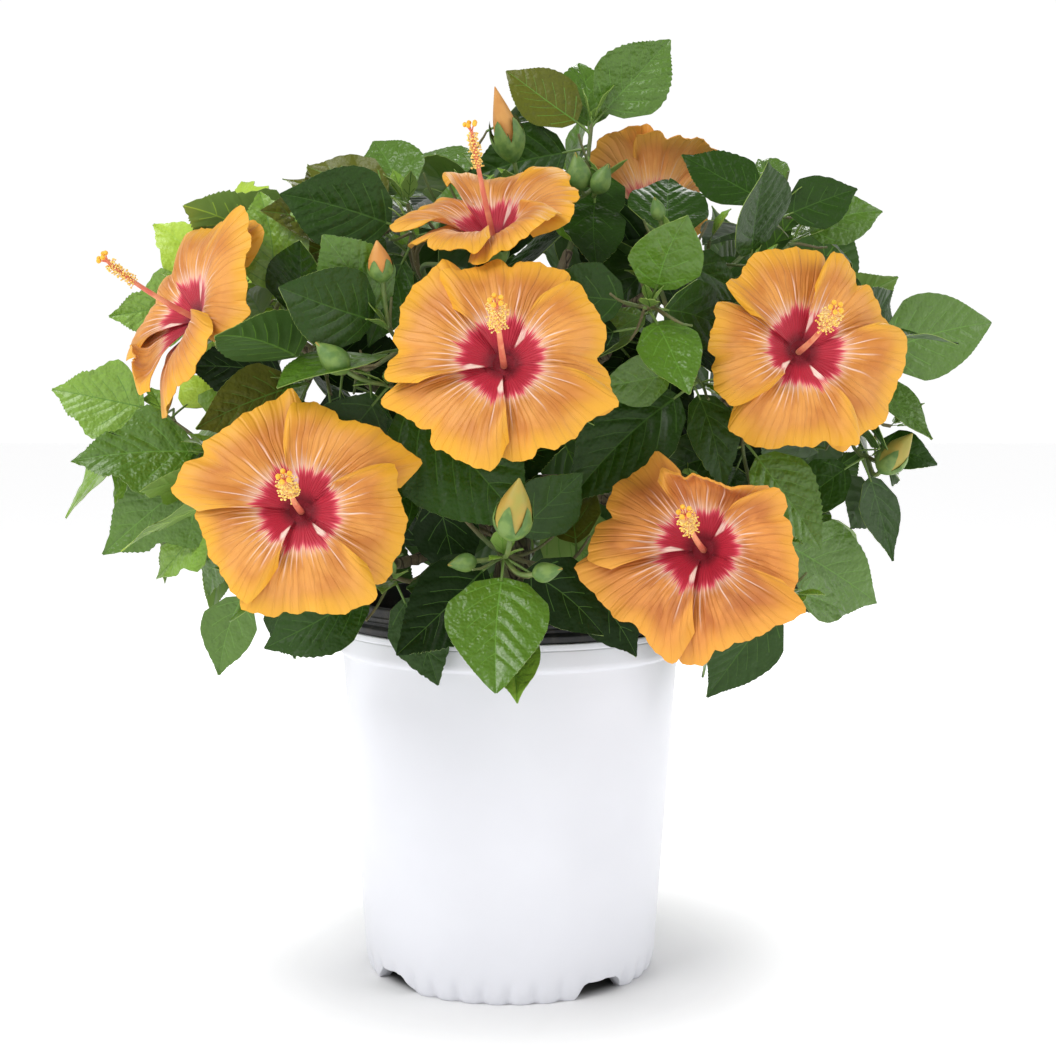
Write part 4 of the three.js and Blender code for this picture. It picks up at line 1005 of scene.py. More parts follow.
def leaf_look(leaf, rng, mass_name, from_table):
    x, y, z = middle = leaf_middle(leaf)
    out = np.linalg.norm((middle - CROWN_CENTRE) / LOOK.crown_reach)
    # painted light and shade: leaves deep in the crown get darker greens, those out of it and facing up
    # lighter ones
    shade_and_tone_score = out - LOOK.inner + LOOK.facing_up * leaf.normal[2] + rng.normal(0, LOOK.by_chance)
    lobed = 0.0
    if mass_name in ("left_low", "left_high") and x < LOOK.left_of:
        shade_and_tone_score += rng.uniform(*(LOOK.bright if mass_name == "left_high" or z > LOOK.high else LOOK.mixed))
        lobed = rng.uniform(*LOOK.lobed)
    if x > LOOK.left_of and from_table:
        shade_and_tone_score = min(max(shade_and_tone_score, LOOK.read[0]), LOOK.read[1])
    front_leaf = mass_name in ("front_low", "front_left") and from_table
    foremost = front_leaf and y < LOOK.foremost_y and z < LOOK.foremost_top
    if mass_name == "front_low" and from_table:
        shade_and_tone_score = LOOK.foremost if foremost else rng.uniform(*LOOK.front_low)
    tone = int(np.digitize(shade_and_tone_score, TONE_STEPS))
    top_leaf = mass_name in ("top", "upper_left") and from_table
    if rng.random() < LOOK.olive or (top_leaf and rng.random() < LOOK.olive_top):
        tone = OLIVE
    round_share = 1 if foremost else rng.uniform(*LOOK.rounded) if front_leaf else 0
    under = "leaf_under_light" if tone in LIGHT_TONES else "leaf_under"
    place = LEAF_KINDS.index
    return Values(
        upper=tone, lobed=lobed, round=round_share, under=place(under), vein=place(TONE_VEINS[tone]),
        edge=place("leaf_edge"), petiole=place("petiole"),
    )


def add_young_leaves(shape, mass, twig, rng, look):
    """Small leaves that are still unfolding round a twig's tip."""
    tip, tangent = twig.smooth_at(1), twig.tangent(1)
    sides = across_limb(tangent, [0.01, 0.01, 0])
    for i in range(YOUNG.count):
        turn = GOLDEN_ANGLE * i + rng.uniform(0, 1.5)
        direction = mixed(*spread_round(sides, turn, YOUNG.apart), (tangent, YOUNG.along), (UP, 0.25))
        facing = mixed((UP, 1), (direction, -0.2), (FRONT, 0.3))
        petiole, length = rng.uniform(*YOUNG.petiole), rng.uniform(*YOUNG.length)
        leaf = make_leaf(tip, direction, petiole, length, facing, 0)
        leaf.width *= YOUNG.width
        at = leaf.base + direction * leaf.length * np.linspace(0.1, 1, 4)[:, None]
        if in_outline(at, 0) and in_space(at, mass) and taken.is_clear(at, YOUNG.radius, mass.name, 0):
            add_leaf(shape, leaf, look, rng, YOUNG_GRID)


# Buds: what the larger ones look like by their mass and length, and some more on the source's twigs,
# each with its twig's tip, its own foot and its tip. COAT is what all buds share, and LONG and SHORT
# say how slender the longer and the other ones are.
BUD_KINDS = ["calyx", "stalk", "furled", "furled_tip"]
BUD_TIPS = dict(green="furled", yellow="furled", orange="furled_tip")
BUD_LOBES = dict(green=(0.86, 0.14), yellow=(0.2, 0.42), orange=(0.3, 0.3))
BUD_LOOKS = {("top", 48): "orange", ("front_left", 24): "orange"}
LONG_BUD = 40
COAT = Values(
    turns=30, petal_rows=16, calyx_rows=12, least=0.4, furls=0.07, twist=3.2, wide=1.06, ribs=0.04,
    open_tip=0.02, wall=0.4, pointed=1.4, bracts=6, bract=0.42, bract_swing=0.2,
)
LONG = Values(width=0.74, petals=0.72)
SHORT = Values(green_petals=0.85, petals=0.94)
MORE_BUDS = rows(
    "mass twig foot tip look",
    ["front_low", [-2, -150, 278], [2, -196, 291], [7, -207, 325], "yellow"],
    ["front_low", [-2, -150, 278], [14, -188, 272], [30, -194, 276], "green"],
    ["front_left", [-66, -150, 374], [-86, -172, 381], [-103, -178, 397], "green"],
    ["right", [222, -42, 330], [224, -70, 322], [242, -78, 346], "yellow"],
    ["top", [54, -36, 498], [44, -58, 492], [40, -66, 514], "green"],
    ["top", [54, -36, 498], [52, -60, 490], [60, -68, 507], "green"],
    ["top", [54, -36, 498], [36, -60, 488], [24, -68, 501], "green"],
)


def add_bud(shape, foot, direction, length, stalk, look, rng, line=None):
    """A bud: petals furled round each other, a ribbed calyx with five points round them, and a few
    narrow bracts below. A green one is all calyx still."""
    base = foot + direction * stalk
    side = unit(np.cross(direction, [1.0, 0.2, 0.1]))
    other = np.cross(direction, side)
    green, calyx = look == "green", BUD_KINDS.index("calyx")
    turn = full_turn(COAT.turns)[None]
    t, s = np.linspace(0.02, 1, COAT.petal_rows)[:, None], np.linspace(0, 1, COAT.calyx_rows)[:, None]
    width = length * BUD.width * (LONG.width if length > LONG_BUD else 1)

    def swelling(t):
        return COAT.least + width * np.sin(np.pi * t ** BUD.blunt)

    def add_coat(t, radius, kind, flip=True):
        ring = ring_round(side, other, radius, turn)
        shape.add_grid(base + direction * (length * t)[..., None] + ring, kind, flip=flip)

    furl = 1 + COAT.furls * np.abs(np.sin(2.5 * turn + COAT.twist * t)) * smooth(0, 0.3, t)
    slender = LONG.petals if length > LONG_BUD else SHORT.green_petals if green else SHORT.petals
    add_coat(t + 0 * turn, swelling(t) * furl * slender, BUD_KINDS.index(BUD_TIPS[look]))
    low, rise = BUD_LOBES[look]
    height = s * (low + rise * np.abs(np.cos(2.5 * turn)) ** COAT.pointed)
    narrowing = (0.0 if green else COAT.open_tip) * smooth(0.7, 1, s)
    ribs = COAT.wide + COAT.ribs * np.abs(np.sin(5 * turn)) - narrowing
    sleeve = swelling(np.clip(height, 0, 1)) * ribs
    add_coat(height, np.maximum(sleeve, 0.9), calyx)
    add_coat(height, np.maximum(sleeve - COAT.wall, 0.6), calyx, flip=False)
    for i in range(COAT.bracts):
        angle = 2 * math.pi * i / COAT.bracts + rng.uniform(-COAT.bract_swing, COAT.bract_swing)
        way = side * math.cos(angle) + other * math.sin(angle)
        add_bract(shape, base + direction * 0.5, way, direction, length * COAT.bract, calyx)
    if line is None:
        line = [foot + (base + direction * length * 0.06 - foot) * share for share in np.linspace(0, 1, 7)]
    radii = np.linspace(BUD.stalk_base + 0.2, BUD.stalk_tip + 0.3, len(line))
    add_tube(shape, line, radii, 8, BUD_KINDS.index("stalk"))


def add_bract(shape, base, way, direction, length, kind):
    s = np.linspace(0, 1, 6)
    out, up = 1.2 + length * 0.5 * np.sin(s * 1.3), length * s**1.3
    line = base + way * out[:, None] + direction * up[:, None]
    across = unit(np.cross(direction, way))
    width = 0.9 * np.sin(np.pi * (0.12 + 0.86 * s)) * min(1.4, length / 9)
    points = line[:, None] + across * (width[:, None] * np.array([-1, 0, 1]))[..., None]
    points[:, 1] -= way * 0.25
    add_sheet(shape, points, 0.35, kind, kind, kind)


# Blooms. The rim and the surface of a petal wave by sums of sines, each with its size, how often it
# turns across the petal and which of the petal's phases it has. Ruffles of the surface also have how far
# out they start and how steeply they grow. Its veins are fine ridges that wander a little.
PETAL = Values(
    rows=36, columns=45, half=0.79, narrow=0.68, middle=0.94, corner=[-0.05, 0.21], round_from=0.76,
    rounding=0.42, tilt=6, thickness=0.5, crowding=0.92, width=[0.94, 1.08], swing=[-0.08, 0.08],
    size=[0.9, 1.07], dent_at=[-0.5, 0.5], dent=[0.03, 0.12], dent_width=0.08, edge_curl=3.4,
    curl_from=0.35,
)
RIM_WAVES = [(0.034, 4.6, 0), (0.018, 9.5, 1), (0.008, 23, 2), (0.006, 47, 3)]
RUFFLES = [(2.6, 2.6, 2, 0.35, 1), (1.5, 7, 3, 0.35, 2), (0.9, 17, 4, 0.75, 1)]
VEINS = Values(height=0.3, pace=36, wander=3, wander_pace=3, fades_in=(0.2, 0.6))
FOLDED = dict(front_right=1, left=3, top_back=2)
FOLD = Values(shortening=0.34, height=17)
OLD_BLOOMS = ("front_right", "top_back")
ANTHERS = Values(
    count=120, first=0.66, span=0.31, reach=[2.8, 6.2], short=0.62, short_in=("left", "upper"),
    size=[0.55, 0.85], stretches=[(0.8, 1, 0.7), (1, 0.75, 0.85)],
)
THROAT = Values(turns=40, rows=8, foot=0.6, widening=3.5)
CUP = Values(
    turns=40, rows=14, foot=1.9, height=10.5, points=4, flare=3.4, ribs=0.035, wall=0.45,
    bracts=7, bract=[8, 11], bract_swing=0.15,
)


def add_petal(shape, bloom, f, petal, rng):
    """A broad petal that overlaps the next like the blades of a pinwheel, with a ruffled rim."""
    t = np.linspace(0, 1, PETAL.rows)[:, None] ** PETAL.crowding
    across = np.linspace(-1, 1, PETAL.columns)[None]
    phase = rng.uniform(0, 2 * np.pi, 6)
    half = PETAL.narrow + (PETAL.half - PETAL.narrow) * np.sin(np.pi / 2 * np.clip(t / 0.6, 0, 1))
    half = half * rng.uniform(*PETAL.width)
    middle = math.radians(bloom.turn) + 2 * math.pi / BLOOM.petals * petal
    angle = middle + rng.uniform(*PETAL.swing) * t + across * half
    corners = np.where(across < 0, rng.uniform(*PETAL.corner), rng.uniform(*PETAL.corner))
    rim = PETAL.middle + corners * (np.abs(across) / PETAL.round_from) ** 2
    rim = rim - PETAL.rounding * smooth(PETAL.round_from, 1.06, np.abs(across))
    for size, pace, i in RIM_WAVES:
        rim = rim + size * np.sin(pace * across + phase[i])
    dent = across - rng.uniform(*PETAL.dent_at)
    rim = rim - rng.uniform(*PETAL.dent) * np.exp(-((dent / PETAL.dent_width) ** 2))
    size = bloom.size * rng.uniform(*PETAL.size)
    reach = BLOOM.throat + size * BLOOM.length * t * (1 + (rim - 1) * smooth(0, 0.7, t))
    flat = reach * math.sin(bloom.open * math.pi / 2) ** (1 - t / 2)
    dish = BLOOM.belly * np.sin(np.pi * t) - BLOOM.funnel * (1 - t) ** 2 - BLOOM.curl * t**3
    height = dish + (1 - bloom.open) * BLOOM.closing * t + PETAL.tilt * across * np.minimum(1, t + 0.18)
    for rise, pace, i, start, power in RUFFLES:
        height = height + rise * smooth(start, 1, t) ** power * np.sin(pace * across + phase[i])
    ridges = np.sin(VEINS.pace * across + VEINS.wander * np.sin(VEINS.wander_pace * across))
    height = height + VEINS.height * smooth(*VEINS.fades_in, t) * ridges
    curl = PETAL.edge_curl * smooth(0.6, 1, np.abs(across)) * smooth(PETAL.curl_from, 1, t)
    height = height + curl * np.sin(3 * t + phase[5]) * np.sign(across)
    if FOLDED.get(bloom.name) == petal:
        # an upper petal that folds forward over itself
        fold = smooth(0.5, 1, t) * smooth(-1.1, -0.2, across) * smooth(1.2, 0.5, across)
        flat = flat * (1 - FOLD.shortening * fold)
        height = height + FOLD.height * fold
    points = (
        f.centre + f.side * (flat * np.cos(angle))[..., None]
        + f.upright * (flat * np.sin(angle))[..., None] + f.axis * height[..., None]
    )
    add_sheet(shape, points, PETAL.thickness, 0, 1, 0, joined((across + 1) / 2 + petal, t))


def add_throat(shape, f):
    """The cup in which the petals meet."""
    turn = full_turn(THROAT.turns)[None]
    s = np.linspace(0, 1, THROAT.rows)[:, None]
    radius = THROAT.foot + (BLOOM.throat + THROAT.widening) * s
    height = -BLOOM.funnel - 3 + 5 * s**1.6 + 0 * turn
    place = joined(turn / (2 * np.pi) * 5, 0.02 + 0.05 * s)
    points = f.centre + ring_round(f.side, f.upright, radius, turn) + f.axis * height[..., None]
    shape.add_grid(points, 0, place, flip=False)
    shape.add_grid(points - f.axis * PETAL.thickness, 1, place)


def add_ball(shape, centre, radius, kind, stretch=(1, 1, 1)):
    turns, rows = 7, 5
    turn = full_turn(turns)[None]
    down = np.linspace(0.12, np.pi - 0.12, rows)[:, None]
    ball = joined(np.sin(down) * np.cos(turn), np.sin(down) * np.sin(turn), np.cos(down)) * stretch
    ball = centre + ball * radius
    shape.add_grid(ball, kind, flip=False)
    shape.add(ball[0], [list(range(turns))], kind)
    shape.add(ball[-1], [list(range(turns))[::-1]], kind)


STAMENS = ["column", "thread", "anther", "pad"]


def add_stamens(shape, bloom, f, rng):
    """The column, its many anthers on short threads, and the five pads at its end."""
    column_kind, thread_kind, anther_kind, pad_kind = range(len(STAMENS))
    column = column_curve(f)
    steps = np.linspace(0, 1, 22)
    line = np.array([column(t) for t in steps])
    scale = 0.8 + 0.2 * bloom.size
    shortening = ANTHERS.short if bloom.name in ANTHERS.short_in else 1
    add_tube(shape, line, (1.9 - 0.9 * steps) * scale, 12, column_kind)
    side, other = frames_along(line)
    tangent = unit(line[-1] - line[-2])

    def outwards(row, turn):
        return side[row] * math.cos(turn) + other[row] * math.sin(turn)

    for i in range(ANTHERS.count):
        t = ANTHERS.first + ANTHERS.span * (i + 0.5) / ANTHERS.count
        spot = column(t)
        near = min(len(steps) - 1, int(round(t * (len(steps) - 1))))
        way = mixed((outwards(near, GOLDEN_ANGLE * i), 1), (tangent, rng.uniform(0, 0.5)))
        reach = rng.uniform(*ANTHERS.reach) * scale * shortening
        end = spot + way * reach
        add_tube(shape, [spot, end], [0.24, 0.2], 4, thread_kind, caps=False)
        add_ball(shape, end, rng.uniform(*ANTHERS.size) * scale, anther_kind, ANTHERS.stretches[i % 2])
    end = line[-1]
    for i in range(5):
        way = mixed((outwards(-1, 2 * math.pi * i / 5 + 0.3), 0.8), (tangent, 1))
        tip = end + way * 5.0 * scale
        add_tube(shape, [end - tangent, end + way * 2.5, tip], [0.45, 0.4, 0.35], 6, column_kind, caps=False)
        add_ball(shape, tip, 1.5 * scale, pad_kind)


def add_calyx(shape, bloom, f, rng):
    """A green cup with five points behind the petals, bracts below it, and the stalk."""
    calyx_kind, stalk_kind = 0, 1
    low = -(BLOOM.calyx_foot + BLOOM.calyx)
    turn = full_turn(CUP.turns)[None]
    s = np.linspace(0, 1, CUP.rows)[:, None]
    lobe = np.abs(np.cos(2.5 * turn))
    height = low + (CUP.height + CUP.points * lobe**1.3) * s
    swell = np.sin(np.pi / 2 * np.clip(s * 1.6, 0, 1)) ** 0.8
    radius = CUP.foot + (BLOOM.calyx_radius + 0.5 - CUP.foot) * swell
    radius = radius + CUP.flare * smooth(0.55, 1, s) * lobe
    radius = radius * (1 + CUP.ribs * np.abs(np.sin(5 * turn)))
    for inwards, flip in ((0, True), (CUP.wall, False)):
        ring = ring_round(f.side, f.upright, radius - inwards, turn)
        shape.add_grid(f.centre + ring + f.axis * height[..., None], calyx_kind, flip=flip)
    for i in range(CUP.bracts):
        angle = 2 * math.pi * i / CUP.bracts + rng.uniform(-CUP.bract_swing, CUP.bract_swing)
        way = f.side * math.cos(angle) + f.upright * math.sin(angle)
        length = rng.uniform(*CUP.bract)
        add_bract(shape, f.centre + f.axis * (low + 0.5), way, f.axis, length, calyx_kind)
    stalk = bloom_stalk(bloom, f)
    line = [stalk.smooth_at(t) for t in np.linspace(0, 1, 18)]
    line = [line[0] - stalk.tangent(0) * 3.5] + line
    line[-1] = f.centre + f.axis * (low + 1)
    radii = np.linspace(BLOOM.stalk_radius + 0.3, BLOOM.stalk_radius, len(line))
    radii[-3:] = [1.6, 1.8, 2.2]
    add_tube(shape, line, radii, 10, stalk_kind)


# Materials: colours are what the eye sees, 0 to 255
def tone(red, green, blue):
    values = np.array([red, green, blue]) / 255
    linear = np.where(values <= 0.04045, values / 12.92, ((values + 0.055) / 1.055) ** 2.4)
    return (*linear, 1.0)


class Nodes:
    """The nodes of a material or of the world. A value that goes to a socket is plain or is another
    node's output."""

    def __init__(self, tree):
        self.tree = tree

    def feed(self, socket, value):
        if isinstance(value, bpy.types.NodeSocket):
            self.tree.links.new(value, socket)
        else:
            socket.default_value = value

    def node(self, kind, **values):
        node = self.tree.nodes.new("ShaderNode" + kind)
        for key, value in values.items():
            if hasattr(node, key):
                setattr(node, key, value)
            else:
                self.feed(node.inputs[key.replace("_", " ")], value)
        return node

    def place(self, scale=(1, 1, 1)):
        """Where a point is on the piece, in metres, stretched by scale."""
        spot = self.node("TexCoord").outputs["Object"]
        return self.node("Mapping", Scale=scale, Vector=spot).outputs["Vector"]

    def length(self, vector):
        return self.node("VectorMath", operation="LENGTH", Vector=vector).outputs["Value"]

    def parts(self, vector):
        return self.node("SeparateXYZ", Vector=vector).outputs

    def noise(self, vector, scale, detail=3.0, roughness=0.5):
        node = self.node("TexNoise", Scale=scale, Detail=detail, Roughness=roughness, Vector=vector)
        return node.outputs["Fac"]

    def cells(self, vector, scale, feature="DISTANCE_TO_EDGE"):
        return self.node("TexVoronoi", feature=feature, Scale=scale, Vector=vector).outputs["Distance"]

    def chance(self, value):
        """A number between 0 and 1 for each whole value."""
        whole = self.number("FLOOR", value)
        return self.node("TexWhiteNoise", noise_dimensions="1D", W=whole).outputs["Value"]

    def number(self, operation, *values):
        node = self.node("Math", operation=operation)
        for socket, value in zip(node.inputs, values):
            self.feed(socket, value)
        return node.outputs[0]

    def times(self, first, second):
        return self.number("MULTIPLY", first, second)

    def plus(self, first, second):
        return self.number("ADD", first, second)

    def scaled(self, value, factor, start):
        return self.number("MULTIPLY_ADD", value, factor, start)

    def away(self, value, middle):
        """How far a value is from another."""
        return self.number("ABSOLUTE", self.number("SUBTRACT", value, middle))

    def ramp(self, value, low, high, start=0, end=1):
        """start below low and end above high, smoothly. low may be the greater."""
        if low > high:
            low, high, start, end = high, low, end, start
        ends = dict(From_Min=low, From_Max=high, To_Min=start, To_Max=end)
        return self.node("MapRange", interpolation_type="SMOOTHSTEP", Value=value, **ends).outputs["Result"]

    def blend(self, share, first, second):
        node = self.node("Mix", data_type="RGBA", Factor=share)
        self.feed(node.inputs[6], first)
        self.feed(node.inputs[7], second)
        return node.outputs[2]


class Finish(Nodes):
    def __init__(self, name, colour, roughness, **sockets):
        self.material = bpy.data.materials.new(name)
        self.material.use_nodes = True
        super().__init__(self.material.node_tree)
        self.shader = self.tree.nodes["Principled BSDF"]
        self.set(Base_Color=colour, Roughness=roughness, **sockets)

    def set(self, **sockets):
        for key, value in sockets.items():
            self.feed(self.shader.inputs[key.replace("_", " ")], value)

    def bump(self, height, distance, strength=1.0):
        node = self.node("Bump", Strength=strength, Distance=distance, Height=height)
        self.set(Normal=node.outputs["Normal"])

    def rough(self, value, low, high):
        node = self.node("MapRange", To_Min=low, To_Max=high, Value=value)
        self.set(Roughness=node.outputs["Result"])

    def mottle(self, value, low, high, first, second):
        """Two colours, one where a value is low and the other where it is high."""
        self.set(Base_Color=self.blend(self.ramp(value, low, high), first, second))


def leaf_finish(name, colour, roughness, relief, gloss=1.0):
    """A leaf's plain glossy colour, on a surface that is softly puckered."""
    finish = Finish(
        name, tone(*colour), roughness, Coat_Weight=0.3 * gloss, Coat_Roughness=0.22,
        Specular_IOR_Level=0.24 * gloss,
    )
    spot = finish.place()
    puckers, grain = finish.noise(spot, 130, 2.0), finish.noise(spot, 520, 2.0)
    finish.bump(finish.plus(puckers, finish.times(grain, 0.14)), relief)
    return finish.material


def petal_finish(name, body, deep, margin, halo, eye, eye_edge, throat):
    """A petal's colours from its eye to its rim. Place holds where a point lies across the petal and
    how far out, and the rays follow the petal's veins."""
    finish = Finish(name, body, 0.55, Sheen_Weight=0.12, Sheen_Roughness=0.4)
    times, plus, scaled, ramp = finish.times, finish.plus, finish.scaled, finish.ramp
    across, out, _ = finish.parts(finish.node("UVMap", uv_map="Place").outputs["UV"])
    colour = body

    def paint(share, paint_colour):
        nonlocal colour
        colour = finish.blend(share, colour, paint_colour)

    def rays(count, along, detail=1.0, seed=0.0):
        spot = finish.node("CombineXYZ", X=scaled(across, float(count), seed), Y=times(out, along))
        return finish.noise(spot.outputs[0], 1.0, detail)

    def lines(count, wander, width, seed):
        """Thin lines from the eye outwards, and a number of its own for each."""
        place = scaled(rays(count * 0.4, 2.0, 1.0, seed), wander, seed)
        place = scaled(across, float(count), place)
        return ramp(finish.away(finish.number("FRACT", place), 0.5), width, 0.0), finish.chance(place)

    within = finish.number("FRACT", across)
    fine, broad = rays(46, 1.2, 2.0), rays(4, 2.2, 3.0, 5.0)
    pleat, pleat_chance = lines(17, 1.6, 0.2, 3.0)
    ray, ray_chance = lines(16, 1.2, 0.17, 40.0)
    paint(ramp(broad, 0.38, 0.66), deep)
    paint(times(times(pleat, ramp(out, 0.25, 0.6)), times(pleat_chance, 0.5)), deep)
    paint(times(ramp(fine, 0.52, 0.7), 0.35), deep)
    # the rim, and the edges that lie over the next petal, are golden
    paint(times(ramp(plus(out, times(broad, 0.3)), 0.86, 1.16), 0.9), margin)
    paint(times(times(ramp(within, 0.8, 1.0), ramp(out, 0.45, 0.75)), 0.65), margin)
    # a soft pale ring round the eye, and thin pale rays that end at different places
    paint(times(ramp(plus(out, times(fine, -0.16)), 0.36, 0.16), 0.5), halo)
    paint(times(times(ray, ramp(scaled(ray_chance, -0.3, out), 0.46, 0.16)), 0.9), halo)
    # the eye ends in rays, and is darkest in the throat
    jag = scaled(rays(7, 1.0, 1.0, 9.0), -0.24, scaled(rays(70, 1.0, 2.0, 3.0), -0.24, out))
    paint(ramp(jag, 0.1, 0.03), eye_edge)
    paint(ramp(jag, 0.06, -0.02), eye)
    paint(times(ramp(out, 0.13, 0.0), 0.8), throat)
    # each petal's own edge is pale where it leaves the eye, and partly a painted highlight where that edge
    # is raised
    lip = ramp(scaled(finish.away(out, 0.19), -0.6, within), 0.85, 0.9)
    lip = times(times(lip, ramp(out, 0.06, 0.12)), ramp(out, 0.32, 0.22))
    paint(times(lip, ramp(finish.chance(across), 0.1, 0.8)), halo)
    finish.set(Base_Color=colour)
    finish.bump(plus(fine, times(pleat, -0.9)), 0.0006, 0.6)
    return finish.material


def bark_finish():
    finish = Finish("bark", tone(112, 100, 78), 0.82)
    stretched = finish.place((1, 1, 0.22))
    plates = finish.cells(stretched, 170)
    grain = finish.noise(stretched, 420, 5.0, 0.65)
    patches = finish.noise(finish.place(), 45)
    colour = finish.blend(finish.ramp(patches, 0.35, 0.65), tone(118, 106, 82), tone(88, 92, 58))
    colour = finish.blend(finish.ramp(grain, 0.45, 0.7), colour, tone(146, 136, 112))
    finish.mottle(plates, 0.07, 0.0, colour, tone(60, 50, 38))
    finish.rough(grain, 0.7, 0.95)
    finish.bump(finish.plus(finish.ramp(plates, 0, 0.2), grain), 0.0009, 0.8)
    return finish.material


def twig_finish():
    finish = Finish("twig", tone(86, 98, 52), 0.6)
    spot = finish.place((1, 1, 0.4))
    patches = finish.noise(spot, 60)
    specks = finish.cells(finish.place(), 520, "F1")
    colour = finish.blend(finish.ramp(patches, 0.38, 0.62), tone(84, 104, 50), tone(104, 96, 62))
    finish.mottle(specks, 0.16, 0.08, colour, tone(150, 146, 110))
    finish.bump(finish.noise(spot, 500), 0.0004, 0.6)
    return finish.material


def soft_finish(name, colour, other, roughness, scale):
    finish = Finish(name, tone(*colour), roughness)
    finish.mottle(finish.noise(finish.place(), scale), 0.38, 0.62, tone(*colour), tone(*other))
    finish.bump(finish.noise(finish.place(), scale * 3), 0.0004, 0.6)
    return finish.material


def pot_finish():
    """White plastic, with painted shade that darkens the recess below the pot's floor."""
    finish = Finish("pot_white", tone(222, 223, 229), 0.36, Coat_Weight=0.08, Coat_Roughness=0.25)
    spot = finish.place()
    white = finish.blend(
        finish.ramp(finish.noise(spot, 9), 0.35, 0.65), tone(220, 221, 227), tone(224, 225, 231)
    )
    # painted shade: inside the foot, below the floor, the white turns dark grey as if in shadow
    inward = finish.ramp(finish.length(finish.place((1, 1, 0))), 0.0835, 0.0805)
    hollow_shade = finish.times(inward, finish.ramp(finish.parts(spot)[2], 0.0125, 0.0115))
    finish.set(Base_Color=finish.blend(hollow_shade, white, tone(62, 62, 66)))
    finish.rough(finish.noise(spot, 60, 4.0), 0.3, 0.44)
    grain = finish.noise(finish.place((1, 1, 0.15)), 900, 2.0)
    finish.bump(finish.plus(finish.noise(spot, 30, 2.0), finish.times(grain, 0.15)), 0.0004, 0.25)
    return finish.material


def liner_finish():
    finish = Finish("liner_black", tone(30, 31, 33), 0.5)
    spot = finish.place()
    dust = finish.noise(spot, 70, 5.0, 0.6)
    finish.mottle(dust, 0.5, 0.75, tone(26, 27, 29), tone(62, 58, 54))
    finish.rough(dust, 0.35, 0.7)
    finish.bump(finish.noise(spot, 900), 0.0003, 0.5)
    return finish.material


def soil_finish(name, dark, light):
    finish = Finish(name, tone(*dark), 0.95)
    spot = finish.place()
    crumbs = finish.noise(spot, 260, 6.0, 0.7)
    finish.mottle(crumbs, 0.4, 0.68, tone(*dark), tone(*light))
    finish.rough(crumbs, 0.85, 1.0)
    finish.bump(finish.plus(crumbs, finish.cells(spot, 420, "F1")), 0.0016, 0.9)
    return finish.material


# Leaf finishes: colour, roughness, relief and gloss. Soft ones: name, two colours, roughness and scale.
LEAF_FINISHES = dict(
    leaf_deep=((22, 44, 8), 0.5, 0.0022, 0.3), leaf_dark=((38, 68, 10), 0.4, 0.0024, 0.65),
    leaf_mid=((80, 116, 30), 0.3, 0.0026, 1.3), leaf_fresh=((120, 158, 52), 0.3, 0.0024, 1.3),
    leaf_light=((170, 200, 66), 0.36, 0.0016), leaf_olive=((92, 98, 28), 0.38, 0.0022, 0.7),
    leaf_under=((66, 98, 40), 0.6, 0.0005), leaf_under_light=((120, 152, 70), 0.6, 0.0005),
    vein_dark=((62, 96, 34), 0.4, 0.0002, 0.5), vein_mid=((96, 138, 50), 0.4, 0.0002),
    vein_light=((166, 200, 76), 0.45, 0.0002), leaf_edge=((128, 152, 70), 0.5, 0.0002),
    petiole=((104, 132, 62), 0.5, 0.0003),
)
SOFT_FINISHES = dict(
    calyx=("calyx", (84, 118, 52), (112, 140, 66), 0.5, 160),
    stalk=("stalk", (88, 112, 52), (112, 128, 68), 0.5, 120),
    furled=("furled_petals", (158, 150, 66), (176, 146, 62), 0.55, 60),
    furled_tip=("furled_petals_orange", (196, 132, 62), (208, 152, 80), 0.55, 60),
    column=("column", (222, 120, 96), (238, 160, 120), 0.5, 90),
    thread=("thread", (246, 206, 130), (250, 222, 160), 0.5, 200),
    anther=("anther", (250, 204, 84), (253, 226, 140), 0.7, 900),
    pad=("stigma", (246, 176, 46), (250, 196, 70), 0.65, 700),
)
PETAL_COLOURS = dict(
    body=(218, 148, 66), deep=(194, 118, 42), margin=(228, 166, 30), halo=(250, 218, 202),
    eye=(178, 10, 44), eye_edge=(214, 56, 84), throat=(104, 0, 22),
)
PETAL_FINISHES = dict(
    petal=PETAL_COLOURS,
    petal_back=dict(
        body=(240, 170, 92), deep=(228, 146, 74), margin=(244, 180, 70), halo=(246, 206, 170),
        eye=(214, 96, 92), eye_edge=(232, 150, 120), throat=(200, 80, 70),
    ),
    petal_old=dict(PETAL_COLOURS, body=(218, 140, 62), deep=(180, 100, 36), margin=(230, 160, 50)),
)


def make_finishes():
    found = {name: leaf_finish(name, *values) for name, values in LEAF_FINISHES.items()}
    found.update(
        twig=twig_finish(), bark=bark_finish(), pot=pot_finish(), liner=liner_finish(),
        soil=soil_finish("soil", (36, 26, 20), (74, 56, 42)),
        chip=soil_finish("chip", (66, 46, 32), (112, 84, 60)),
    )
    found.update({key: soft_finish(*values) for key, values in SOFT_FINISHES.items()})
    for name, colours in PETAL_FINISHES.items():
        found[name] = petal_finish(name, **{part: tone(*colour) for part, colour in colours.items()})
    return found


# Leaves of the photo for which the source's rule has no room, and some that close the crown's heart, each by
# its middle, and as in the table its hour, length and lean. The heart's leaves get the darkest greens as
# painted shade.
MORE_LEAVES = rows(
    "mass middle hour length lean look",
    ["left", [-143, -84, 464], 11.75, 68, -5, "leaf_fresh"],
    ["upper_right", [78, -5, 440], 7.5, 72, 0, "leaf_dark"],
    ["top", [64, 12, 466], 6.3, 66, 0, "leaf_deep"],
    ["front_right", [60, -35, 386], 8, 66, -10, "leaf_deep"],
    ["left", [-92, -24, 396], 2.6, 68, -10, "leaf_deep"],
)


